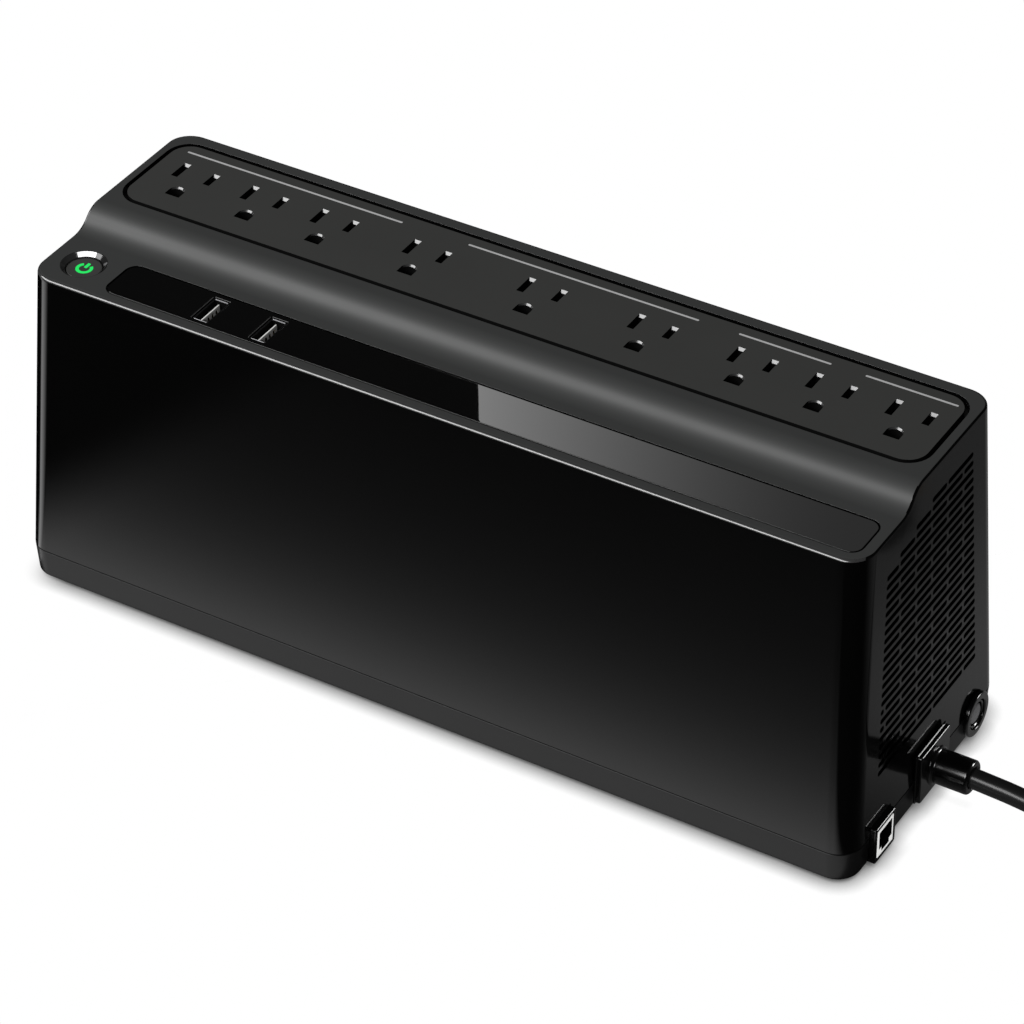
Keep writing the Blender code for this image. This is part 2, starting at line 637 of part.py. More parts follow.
def outlet_contacts():
    neutral_y = (35.5 * MM, 40.5 * MM)
    live_y = (19.6 * MM, 23.0 * MM)
    bus_bar("neutral_bus", OUTLETS_X, neutral_y, -BLADE_PITCH / 2, BLADE_Y, 5 * MM)
    bus_bar("live_bus_battery", OUTLETS_X[:BATTERY_OUTLETS], live_y, BLADE_PITCH / 2, BLADE_Y, 5 * MM)
    bus_bar("live_bus_surge", OUTLETS_X[BATTERY_OUTLETS:], live_y, BLADE_PITCH / 2, BLADE_Y, 5 * MM)
    bus_bar("ground_bus", OUTLETS_X, (9.0 * MM, 12.0 * MM), 0, BLADE_Y - GROUND_OFFSET, 3 * MM)
    outside = ((-150 * MM, 150 * MM), (5.5 * MM, 43.5 * MM), (109.5 * MM, 121.5 * MM))
    carrier = box("outlet_carrier", *outside, "grey_plastic")
    cut(carrier, box("well", (-148.2 * MM, 148.2 * MM), (7.2 * MM, 41.8 * MM), (111.5 * MM, 0.13)))


# ---------------------------------------------------------------- right end

def cord_path():
    """Centre line of the cord: straight out, down to the table, then round towards the back."""
    start = Vector((BOOT_END_X - 0.008, CORD_Y, CORD_Z))
    out = Vector((BOOT_END_X + 0.012, CORD_Y, CORD_Z - 0.0006))
    down = Vector((0.236, 0.022, CORD_R + 0.0005))
    end = Vector((0.247, 0.100, CORD_R + 0.0065))
    path = [start, Vector((BOOT_END_X + 0.002, CORD_Y, CORD_Z - 0.0001)), out]
    path += bezier(out, out + Vector((0.020, 0, -0.0015)), down + Vector((-0.012, -0.018, 0)), down, 9)
    path += bezier(down, down + Vector((0.014, 0.021, 0)), end + Vector((0, -0.035, 0)), end, 9)
    return path


def strain_relief():
    centre = (0, CORD_Y, CORD_Z)

    def slab(name, x, shrink):
        return box(name, x, (RELIEF_Y[0] + shrink, RELIEF_Y[1] - shrink),
                   (RELIEF_Z[0] + shrink, RELIEF_Z[1] - shrink), "rubber")

    flange = slab("strain_relief", (163.6 * MM, RELIEF_FACE_X), 0)
    inner = box("inner_flange", (156.5 * MM, 159 * MM), (RELIEF_Y[0] + 0.4 * MM, RELIEF_Y[1] - 0.4 * MM),
                (FLOOR_TOP_Z + GAP, RELIEF_Z[1] - 0.4 * MM))
    join(flange, slab("neck", (158 * MM, 164.5 * MM), 2 * MM), inner)
    join(flange, rod("boot", centre, "X", BOOT_R, (164 * MM, BOOT_END_X)))
    cut(flange, rod("cord_way", centre, "X", CORD_R + GAP, (168 * MM, 0.2)))
    smooth(flange)
    tube_along("power_cord", cord_path(), CORD_R, "rubber")


def plug():
    """Three-pin plug at the cord's end, lying on the table with its blades to the back."""
    x, z = 247 * MM, 13.5 * MM
    start = 101 * MM
    upright_to_back = Matrix.Rotation(math.radians(-90), 4, "X")
    sideways_to_back = Matrix.Rotation(math.radians(90), 4, "Z")
    sections = []
    for y, half_x, half_z in PLUG_STATIONS:
        outline = rounded_rectangle((-half_x, half_x), (-half_z, half_z), 0.6 * half_z, 4)
        sections.append((start + y, outline))
    body = smooth(place_part(loft("plug_body", sections, "rubber"), (x, 0, z), upright_to_back))
    face = start + PLUG_STATIONS[-1][0]
    for name, offset in (("plug_blade_neutral", -1), ("plug_blade_live", 1)):
        middle = x + offset * BLADE_PITCH / 2
        box(name, (middle - 0.75 * MM, middle + 0.75 * MM), (face - 6 * MM, face + 16 * MM),
            (z - 3.2 * MM, z + 3.2 * MM), "brass")
        cut(body, box("blade_slot", (middle - 1.1 * MM, middle + 1.1 * MM), (face - 6.5 * MM, face + 1 * MM),
                      (z - 3.55 * MM, z + 3.55 * MM)))
    pin_place = (x, face, z - 8.0 * MM)
    pin = rod("plug_ground_pin", (0, 0, 0), "X", 2.4 * MM, (-6 * MM, 19 * MM), "brass", 16)
    place_part(pin, pin_place, sideways_to_back)
    hole = rod("pin_hole", (0, 0, 0), "X", 2.75 * MM, (-6.5 * MM, 5 * MM), "brass", 16)
    cut(body, place_part(hole, pin_place, sideways_to_back))
    socket = 4 * MM
    cut(body, box("cord_socket", (x - socket, x + socket), (start - 1 * MM, start + 2 * MM),
                  (z - socket, z + socket)))


def breaker():
    centre = (0, BREAKER_Y, BREAKER_Z)
    bore = BREAKER_BUTTON_R + 0.4 * MM
    face = BREAKER_FACE_X
    neck_end = face - 0.6 * MM
    profile = [(0, 138 * MM), (BREAKER_NECK_R, 138 * MM), (BREAKER_NECK_R, neck_end), (bore, neck_end),
               (bore, 150 * MM), (0, 150 * MM)]
    turned("breaker_body", profile, centre, "X", "grey_plastic", 20)
    inner = BREAKER_NECK_R + GAP
    collar = [(inner, 163.5 * MM), (BREAKER_COLLAR_R, 163.5 * MM), (BREAKER_COLLAR_R, face - 0.7 * MM),
              (BREAKER_COLLAR_R - 0.7 * MM, face), (inner + 0.5 * MM, face), (inner, face - 0.5 * MM)]
    turned("breaker_collar", collar, centre, "X", "base", 28)
    button = [(0, 155 * MM), (BREAKER_BUTTON_R, 155 * MM), (BREAKER_BUTTON_R, face - 1.0 * MM),
              (BREAKER_BUTTON_R - 0.8 * MM, face - 0.4 * MM), (0, face - 0.4 * MM)]
    origin = (160 * MM, BREAKER_Y, BREAKER_Z)
    turned("breaker_button", button, centre, "X", "grey_plastic", 20, origin)


def data_port():
    block = box("data_port_block", (155.5 * MM, PORT_FACE_X), PORT_Y, PORT_Z, "base")
    mouth_y = (PORT_Y[0] + 1.0 * MM, PORT_Y[1] - 1.6 * MM)
    mouth_z = (PORT_Z[0] + 1.6 * MM, PORT_Z[1] - 1.0 * MM)
    cut(block, box("mouth", (157 * MM, 0.17), mouth_y, mouth_z))
    shield_y = (mouth_y[0] + GAP, mouth_y[1] - GAP)
    shield_z = (mouth_z[0] + GAP, mouth_z[1] - GAP)
    shield = box("data_jack_shield", (157.3 * MM, PORT_FACE_X + 0.1 * MM), shield_y, shield_z, "aluminium")
    side = 1.1 * MM
    middle = (shield_y[0] + shield_y[1]) / 2
    key = 2.6 * MM
    opening = [(shield_y[0] + side, shield_z[0] + 3.0 * MM), (middle - key, shield_z[0] + 3.0 * MM),
               (middle - key, shield_z[0] + 1.2 * MM), (middle + key, shield_z[0] + 1.2 * MM),
               (middle + key, shield_z[0] + 3.0 * MM), (shield_y[1] - side, shield_z[0] + 3.0 * MM),
               (shield_y[1] - side, shield_z[1] - side), (shield_y[0] + side, shield_z[1] - side)]
    cut(shield, bar_along_x("jack_mouth", opening, (158.5 * MM, 0.17)))
    contacts = box("data_jack_contacts", (158.8 * MM, 159.6 * MM), (middle - 4.2 * MM, middle + 4.2 * MM),
                   (shield_z[0] + 5.4 * MM, shield_z[1] - 1.6 * MM), "brass")
    finger_z = (shield_z[1] - 2.9 * MM, shield_z[1] - 2.3 * MM)
    places = [middle + (i - 3.5) * 1.02 * MM for i in range(8)]
    fingers = [((159.3 * MM, 163.0 * MM), (y - 0.25 * MM, y + 0.25 * MM), finger_z) for y in places]
    join(contacts, boxes("fingers", fingers))


# ---------------------------------------------------------------- inside

def battery():
    x = (BATTERY_MIN_X, BATTERY_MIN_X + BATTERY_SIZE[0])
    half = BATTERY_SIZE[1] / 2
    top = BATTERY_BOTTOM_Z + BATTERY_SIZE[2]
    outline = rounded_rectangle(x, (-half, half), 2 * MM, 2)
    lid = rounded_rectangle((x[0] + 1 * MM, x[1] - 1 * MM), (-half + 1 * MM, half - 1 * MM), 2 * MM, 2)
    step = top - 12 * MM
    loft("battery_case", [(BATTERY_BOTTOM_Z, outline), (step, outline), (step, lid), (top, lid)],
         "grey_plastic")
    tab_x = x[1] - 9 * MM
    board_x = 26 * MM
    for name, y, slot, entry_z in (("positive", 22 * MM, "red_plastic", 92 * MM),
                                   ("negative", -22 * MM, "rubber", 84 * MM)):
        box("battery_terminal_" + name, (tab_x - 3.15 * MM, tab_x + 3.15 * MM), (y - 0.4 * MM, y + 0.4 * MM),
            (top + GAP, top + 6.5 * MM), "steel")
        start = Vector((tab_x + 5.5 * MM, y, top + 4 * MM))
        end = Vector((board_x, BOARD_Y - 2.2 * MM, entry_z))
        path = [start] + bezier(start, start + Vector((0.016, 0, 0)), end + Vector((0, -0.022, 0)), end, 10)
        tube_along("battery_lead_" + name, path, 1.6 * MM, slot, 8)


def transformer():
    x, z = (34 * MM, 112 * MM), (8.2 * MM, 72 * MM)
    core = box("transformer_core", x, (-18 * MM, 18 * MM), z, "core_steel")
    mid_x, leg = (x[0] + x[1]) / 2, 13 * MM
    window = 13 * MM
    for side in (-1, 1):
        near = mid_x + side * leg
        far = near + side * window
        cut(core, box("window", sorted((near, far)), (-0.03, 0.03), (z[0] + window, z[1] - window)))
    bobbin_x = (mid_x - leg - window + 0.6 * MM, mid_x + leg + window - 0.6 * MM)
    coil_z = (z[0] + window + 0.6 * MM, z[1] - window - 0.6 * MM)
    outline = rounded_rectangle(bobbin_x, (-29 * MM, 29 * MM), 6 * MM, 4)
    coil = prism("transformer_coil", outline, coil_z, "copper")
    way = leg + 0.5 * MM
    cut(coil, box("leg_way", (mid_x - way, mid_x + way), (-18.6 * MM, 18.6 * MM), (0, 100 * MM)))
    smooth(coil)
    bracket = box("transformer_bracket", (24 * MM, 122 * MM), (-18 * MM, 18 * MM),
                  (FLOOR_TOP_Z + GAP, 7.8 * MM), "steel")
    ears = [((middle - 2 * MM, middle + 2 * MM), (-3 * MM, 3 * MM), (0, 10 * MM))
            for middle in (27.5 * MM, 118.5 * MM)]
    cut(bracket, boxes("bolt_slots", ears))


def electronics():
    board = (BOARD_Y - 1.6 * MM, BOARD_Y)
    face = board[0] - GAP
    box("main_board", (14 * MM, 130 * MM), board, (6 * MM, 104 * MM), "circuit_board")
    sink_x = (84 * MM, 126 * MM)
    sink = box("heat_sink", sink_x, (face - 4 * MM, face), (76 * MM, 102 * MM), "aluminium")
    starts = [sink_x[0] + (0.6 + 5.6 * i) * MM for i in range(8)]
    fins = [((start, start + 1.6 * MM), (face - 20 * MM, face - 3 * MM), (76.3 * MM, 101.7 * MM))
            for start in starts]
    join(sink, boxes("fins", fins))
    off_board = Matrix.Rotation(math.radians(90), 4, "X")
    can = rod("bulk_capacitor", (0, 0, 0), "Z", 8 * MM, (0, 26 * MM), "blue_plastic", 20)
    place_part(can, (70 * MM, face, 92 * MM), off_board)
    box("transfer_relay", (42 * MM, 57 * MM), (face - 19 * MM, face), (78 * MM, 98 * MM), "blue_plastic")
    box("output_relay", (20 * MM, 32 * MM), (face - 9.5 * MM, face), (40 * MM, 68 * MM), "white_plastic")
    disc = rod("surge_varistor", (0, 0, 0), "Z", 6 * MM, (0, 4.5 * MM), "blue_plastic", 20)
    place_part(disc, (50 * MM, face, 30 * MM), off_board)
    profile = [(0, 0), (6 * MM, 0), (6 * MM, 7 * MM), (1.2 * MM, 7 * MM), (1.2 * MM, 5 * MM), (0, 5 * MM)]
    buzzer = turned("buzzer", profile, (0, 0, 0), "Z", "rubber", 20)
    place_part(buzzer, (90 * MM, face, 30 * MM), off_board)


def build():
    for obj in list(bpy.data.objects):
        bpy.data.objects.remove(obj)
    upper_housing()
    outlet_deck()
    display_strip()
    base_tray()
    battery_door()
    feet_and_screws()
    power_button()
    shelf_boards()
    for side, x in zip(("left", "right"), USB_X):
        usb_port(side, x)
    outlet_contacts()
    strain_relief()
    plug()
    breaker()
    data_port()
    battery()
    transformer()
    electronics()
    for obj in bpy.data.objects:
        obj.location.z -= BASE_BOTTOM_Z


build()
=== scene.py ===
"""Looks of the desk power supply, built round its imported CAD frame.

Lengths are metres in the CAD's frame: +X to the right, the glossy front towards -Y, +Z up.
"""
import json
import math

import bmesh
import bpy
from mathutils import Matrix, Vector

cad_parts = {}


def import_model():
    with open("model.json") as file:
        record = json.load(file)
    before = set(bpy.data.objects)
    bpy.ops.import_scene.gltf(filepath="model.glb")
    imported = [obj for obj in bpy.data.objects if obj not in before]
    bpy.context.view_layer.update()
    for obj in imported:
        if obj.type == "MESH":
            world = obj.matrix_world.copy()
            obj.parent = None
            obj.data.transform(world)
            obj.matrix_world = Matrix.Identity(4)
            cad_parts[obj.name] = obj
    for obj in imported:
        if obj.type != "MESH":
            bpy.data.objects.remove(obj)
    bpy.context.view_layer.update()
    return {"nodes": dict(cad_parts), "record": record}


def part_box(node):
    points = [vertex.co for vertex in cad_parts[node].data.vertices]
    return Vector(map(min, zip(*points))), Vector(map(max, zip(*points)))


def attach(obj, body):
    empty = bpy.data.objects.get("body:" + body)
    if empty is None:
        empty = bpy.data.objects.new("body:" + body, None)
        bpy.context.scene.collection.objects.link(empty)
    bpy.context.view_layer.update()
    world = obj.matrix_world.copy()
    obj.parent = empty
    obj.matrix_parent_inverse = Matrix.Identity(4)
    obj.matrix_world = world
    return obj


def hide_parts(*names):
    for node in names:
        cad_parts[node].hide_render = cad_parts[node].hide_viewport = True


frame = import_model()

MM = 0.001
NODES = frame["nodes"]
CHASSIS = "chassis"
CORNERS = ("left_front", "left_rear", "right_front", "right_rear")

# ---- places read from the frame ----
TABLE_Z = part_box("foot_left_front")[0].z
HOUSING_LOW, HOUSING_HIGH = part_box("upper_housing")
BASE_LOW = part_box("base_tray")[0]
STRIP_LOW, STRIP_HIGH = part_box("display_strip")
DECK_LOW, DECK_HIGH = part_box("outlet_deck")
PARTING_Z = HOUSING_LOW.z
DECK_Z = HOUSING_HIGH.z
END_X = (HOUSING_LOW.x, HOUSING_HIGH.x)
HALF_DEPTH = HOUSING_HIGH.y
SHELF_Z = STRIP_HIGH.z + 0.1 * MM
SHELF_MID_Y = (STRIP_LOW.y + STRIP_HIGH.y) / 2

# ---- shape of the casing ----
END_LEAN = (0.0328, 0.0561)        # inward run per height at the left and the right end
FRONT_LEAN = 0.1066
BACK_LEAN = 0.0277
CORNER_R = 9.0 * MM
WALL = 2.6 * MM
TOP_WALL = 3.0 * MM
FRONT_EDGE_R = 1.5 * MM            # rounding of the top edge, in front, at the ends and at the back
END_EDGE_R = 0.8 * MM
BACK_EDGE_R = 1.7 * MM
S_CURVE_START_Y = -15.4 * MM
S_CURVE_END_Y = -0.7 * MM
BEYOND_X = 0.2                     # reach of a cutter that passes the casing on every side
BEYOND_Y = 0.08
BEYOND_Z = 0.16

# ---- outlet deck ----
DECK_FLANGE = 1.2 * MM             # hidden lip under the housing
DECK_R = 8.6 * MM
GROOVE = 0.5 * MM                  # gap between an inset panel and its opening
DECK_INSET = 1.1 * MM              # the deck panel stands back a little further
OUTLETS_X = [x * MM for x in (-137.6, -109.1, -80.5, -43.5, 1.5, 43.5, 80.5, 109.1, 137.6)]
BLADE_Y = 28.3 * MM
BLADE_PITCH = 12.7 * MM
GROUND_OFFSET = 11.9 * MM
NEUTRAL_SLOT = (2.6 * MM, 8.7 * MM)
LIVE_SLOT = (2.6 * MM, 7.1 * MM)
SLOT_CORNER_R = 0.12 * MM
GROUND_R = 2.9 * MM
SLOT_SLOPE = 0.85 * MM             # run and drop of the sloped rear end of a blade slot
GROUND_SLOPE = 0.55 * MM
PRINTED_LINES_MM = ((-148.5, -60.2), (-33.9, 54.6), (69.5, 103.3), (115.7, 148.8))
PRINTED_LINE_Y = 39.0 * MM
PRINTED_LINE_HALF = 0.42 * MM
INK_HALF = 0.02 * MM

# ---- front shelf ----
STRIP_R = 4.0 * MM
USB_HOLE = (6.6 * MM, 13.7 * MM)
USB_WALL = 0.4 * MM
USB_CONTACT_PITCH = 2.3 * MM
BUTTON_HOLE_R = 6.6 * MM
BUTTON_DISH = 1.4 * MM
BUTTON_CAP_R = 6.2 * MM
SYMBOL_R = 2.45 * MM
SYMBOL_WIDTH = 1.15 * MM
SYMBOL_GAP = 0.05 * MM

# ---- end vents ----
VENT_ROWS = 26
VENT_SHORT_ROWS = 3                # the top rows stop where the shelf drops
VENT_PITCH_Z = 3.29 * MM
VENT_TOP_Z = SHELF_Z - 5.4 * MM
VENT_SLOT_H = 1.8 * MM
VENT_SLOT_R = 0.8 * MM
VENT_BRIDGE = 1.2 * MM
VENT_BRIDGE_Y = 26.5 * MM
VENT_PITCH_Y = 11.1 * MM
VENT_BACK_Y = 33.4 * MM
VENT_FRONT_Y = -25.2 * MM

# ---- base ----
BASE_TUCK = 0.6 * MM
BASE_EDGE_R = 1.3 * MM
BASE_TOP = PARTING_Z - 0.5 * MM
FLOOR_TOP = TABLE_Z + 4.6 * MM
RIB_FOOT = TABLE_Z + 3.0 * MM      # ribs and bosses start inside the floor
BOARD_GUIDES_X = (23 * MM, 121 * MM)
DOOR_RAIL = 2.0 * MM
DOOR_STEP = 1.1 * MM
DOOR_SOFT = 0.25 * MM
PLAY = 0.3 * MM                    # clearance round a fitted part

# ---- right end ----
CORD_Y = 3.0 * MM
CORD_Z = TABLE_Z + 12.3 * MM
CORD_R = 3.5 * MM
BOOT_R = 6.0 * MM
BOOT_END_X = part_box("strain_relief")[1].x
RELIEF_LIP_X = 163.3 * MM
RELIEF_FACE_X = 165.6 * MM
RELIEF_NECK = 2.3 * MM             # the part in the wall is this much smaller all round
RELIEF_EDGE = 0.45 * MM
BREAKER_BORE_R = 5.5 * MM

# ---- stage ----
CAMERA_PLACE = Vector((0.581751, -0.926942, 0.896196)) + Vector((0, 0, TABLE_Z))
CAMERA_AZIMUTH = math.radians(31.858)
CAMERA_ELEVATION = math.radians(37.580)
CAMERA_ROLL = math.radians(-0.946)
CAMERA_LENS = 144.19
WORLD_FILL = 0.25
WORLD_MIRRORED = 0.02
KEY_LIGHT = (Vector((-0.40, -0.61, 0.68)).normalized() * 2.2, (3.8, 0.8), 7.4)  # place, size, radiance
DISH_LIGHT = (Vector((0.18, -0.50, 0.80)) * 1.5, (2.6, 0.6), 30.0)
EDGE_LIGHT = (Vector((0.67, 0.66, 0.30)) * 1.6, (0.5, 0.5), 18.0)
LIGHT_TARGET = Vector((0, 0, 0.08))
CARD_X = (-0.197, 0.250)
CARD_FADE = 0.190                  # width over which the card falls to its low level
GLOW_REACH = 46 * MM               # distance from the casing where the mirrored table is half as bright
GLOW_POWER = 2.35
GLOW_LOSS_BEHIND = 0.65
CONTACT_SHADOW = 6.5 * MM


# ---------------- mesh helpers

def around(middle, half):
    """The range from middle - half to middle + half."""
    return middle - half, middle + half


def middle_of(node):
    """Middle of a CAD node's box."""
    low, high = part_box(node)
    return [(a + b) / 2 for a, b in zip(low, high)]


def arc(centre, radius, start, end, steps):
    """Points on an arc, both ends included; angles in degrees."""
    angles = [math.radians(start + (end - start) * i / steps) for i in range(steps + 1)]
    return [(centre[0] + radius * math.cos(a), centre[1] + radius * math.sin(a)) for a in angles]


def rectangle(x, y):
    """Counter-clockwise corners of the rectangle x[0]..x[1], y[0]..y[1]."""
    return [(x[0], y[0]), (x[1], y[0]), (x[1], y[1]), (x[0], y[1])]


def rounded_rectangle(x, y, radius, steps=8):
    """Counter-clockwise outline of a rectangle with round corners."""
    middles = rectangle((x[0] + radius, x[1] - radius), (y[0] + radius, y[1] - radius))
    points = []
    for centre, start in zip(middles[1:] + middles[:1], (-90, 0, 90, 180)):
        points += arc(centre, radius, start, start + 90, steps)
    return points


def grown_rectangle(x, y, radius, steps=8):
    """A function of grow that gives the rounded rectangle's outline."""
    def outline_at(grow):
        return rounded_rectangle((x[0] - grow, x[1] + grow), (y[0] - grow, y[1] + grow), radius + grow, steps)
    return outline_at


def footprint(low, high, radius, steps=8, margin=0.0):
    """The same for the plan of a CAD box with a margin added all round."""
    x = (low.x - margin, high.x + margin)
    y = (low.y - margin, high.y + margin)
    return grown_rectangle(x, y, radius, steps)


def end_plate(low, high, shrink, radius, steps):
    """Y-Z outline of a CAD box, drawn in by shrink."""
    y = (low.y + shrink, high.y - shrink)
    z = (low.z + shrink, high.z - shrink)
    return rounded_rectangle(y, z, radius, steps)


def quarter(radius, steps=4):
    """(inset, drop) pairs of a quarter-round edge, from the side face up to the top face."""
    angles = [math.pi / 2 * i / steps for i in range(steps + 1)]
    return [(radius * (1 - math.cos(a)), radius * (1 - math.sin(a))) for a in angles]


def round_end(radius, end, edge, steps):
    """Profile points of the rounded end of a turned solid."""
    return [(radius - inset, end - drop) for inset, drop in quarter(edge, steps)]


def round_top(outline_at, top, edge, steps):
    """Sections of the rounded top edge of a plate; outline_at(grow) gives its outline."""
    return [(top - drop, outline_at(-inset)) for inset, drop in quarter(edge, steps)]


def stack(sections):
    """Rings for skin() from (height, outline) sections."""
    return [[(x, y, z) for x, y in outline] for z, outline in sections]


def along_x(sections):
    """Rings for skin() from (x, outline) sections, the outline in Y and Z."""
    return [[(x, y, z) for y, z in outline] for x, outline in sections]


def box_rings(x, y, z):
    outline = rectangle(x, y)
    return stack([(z[0], outline), (z[1], outline)])


def turned_rings(profile, centre, axis, segments):
    """Rings of a profile of (radius, distance) points, turned about an axis through centre."""
    rings = []
    for radius, along in profile:
        ring = []
        for i in range(segments):
            angle = 2 * math.pi * i / segments
            across = (radius * math.cos(angle), radius * math.sin(angle))
            offset = (along, *across) if axis == "X" else (*across, along)
            ring.append(Vector(centre) + Vector(offset))
        rings.append(ring)
    return rings


def bridge(bm, first, second):
    """A band of faces between two loops of equal point count."""
    count = len(first)
    for i in range(count):
        j = (i + 1) % count
        bm.faces.new((first[i], first[j], second[j], second[i]))


def skin(rings, bm=None):
    """Close a stack of rings of equal point count into a solid, in a new or a given bmesh."""
    bm = bm or bmesh.new()
    loops = [[bm.verts.new(point) for point in ring] for ring in rings]
    bm.faces.new(list(reversed(loops[0])))
    bm.faces.new(loops[-1])
    for low, high in zip(loops, loops[1:]):
        bridge(bm, low, high)
    return bm


def mesh_object(name, bm):
    bmesh.ops.recalc_face_normals(bm, faces=bm.faces)
    mesh = bpy.data.meshes.new(name)
    bm.to_mesh(mesh)
    bm.free()
    obj = bpy.data.objects.new(name, mesh)
    bpy.context.scene.collection.objects.link(obj)
    return obj


def solid(name, rings):
    return mesh_object(name, skin(rings))


def box(name, x, y, z):
    return solid(name, box_rings(x, y, z))


def turned(name, profile, centre, axis="Z", segments=48):
    """A turned solid whose profile runs from one flat end to the other."""
    return solid(name, turned_rings(profile, centre, axis, segments))


def tube(name, profile, centre, axis="Z", segments=48):
    """A turned ring: its closed profile doesn't touch the axis."""
    bm = bmesh.new()
    loops = [[bm.verts.new(p) for p in ring] for ring in turned_rings(profile, centre, axis, segments)]
    for ring, following in zip(loops, loops[1:] + loops[:1]):
        bridge(bm, ring, following)
    return mesh_object(name, bm)


def apply_modifiers(obj):
    bpy.context.view_layer.update()
    result = bpy.data.meshes.new_from_object(obj.evaluated_get(bpy.context.evaluated_depsgraph_get()))
    obj.modifiers.clear()
    obj.data = result


def combine(target, tools, operation="DIFFERENCE"):
    """Cut the tools out of the target, or join them on, and remove them."""
    for tool in tools:
        modifier = target.modifiers.new("combine", "BOOLEAN")
        modifier.operation = operation
        modifier.solver = "EXACT"
        modifier.object = tool
    apply_modifiers(target)
    for tool in tools:
        bpy.data.objects.remove(tool)
    return target


def polish(obj, sharp=math.radians(32)):
    """Smooth shading that keeps flat faces flat."""
    obj.data.shade_smooth()
    obj.data.set_sharp_from_angle(angle=sharp)
    weighted = obj.modifiers.new("weighted_normals", "WEIGHTED_NORMAL")
    weighted.keep_sharp = True
    weighted.weight = 80
    return obj


def paint(obj, materials, index_of):
    """Give a mesh several materials; index_of(face) picks one for each face."""
    obj.data.materials.clear()
    for name in materials:
        obj.data.materials.append(MATERIALS[name])
    for face in obj.data.polygons:
        face.material_index = index_of(face)


def piece(obj, material, body=CHASSIS, nodes=()):
    """Give a finished mesh its material and its body, and hide the CAD nodes it stands for."""
    if not obj.data.materials:
        obj.data.materials.append(MATERIALS[material])
    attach(obj, body)
    if nodes:
        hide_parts(*nodes)
    return obj


# ---------------- materials

class Graph:
    """A node tree with short ways to add nodes."""

    def __init__(self, owner, clear=False):
        owner.use_nodes = True
        self.nodes = owner.node_tree.nodes
        self.links = owner.node_tree.links
        if clear:
            self.nodes.clear()

    def node(self, kind, **values):
        """A node whose sockets or settings are given by name."""
        made = self.nodes.new(kind)
        for key, value in values.items():
            if key in made.inputs:
                made.inputs[key].default_value = value
            else:
                setattr(made, key, value)
        return made

    def maths(self, operation, *inputs):
        """A Math node over sockets or numbers; returns its output."""
        made = self.node("ShaderNodeMath", operation=operation)
        for i, given in enumerate(inputs):
            if isinstance(given, (int, float)):
                made.inputs[i].default_value = given
            else:
                self.links.new(given, made.inputs[i])
        return made.outputs[0]

    def product(self, *factors):
        result = factors[0]
        for factor in factors[1:]:
            result = self.maths("MULTIPLY", result, factor)
        return result

    def ranged(self, source, low, high, start=0.3, end=0.7, **settings):
        """The source mapped from start..end to low..high."""
        limits = {"From Min": start, "From Max": end, "To Min": low, "To Max": high}
        made = self.node("ShaderNodeMapRange", **limits, **settings)
        self.links.new(source, made.inputs["Value"])
        return made.outputs["Result"]

    def ramp(self, source, start, end, low=0.0, high=1.0):
        """A smooth step of the source from low at start to high at end."""
        return self.ranged(source, low, high, start, end, interpolation_type="SMOOTHSTEP")

    def place(self):
        """Sockets of the shaded point's X, Y and Z."""
        split = self.node("ShaderNodeSeparateXYZ")
        self.links.new(self.node("ShaderNodeNewGeometry").outputs["Position"], split.inputs[0])
        return split.outputs

    def for_rays(self, kind, others, chosen):
        """A shader that is chosen for rays of one kind and others for the rest."""
        mix = self.node("ShaderNodeMixShader")
        self.links.new(self.node("ShaderNodeLightPath").outputs[kind], mix.inputs["Fac"])
        self.links.new(others, mix.inputs[1])
        self.links.new(chosen, mix.inputs[2])
        return mix.outputs[0]

    def finish(self, kind, surface):
        self.links.new(surface, self.node(kind).inputs["Surface"])


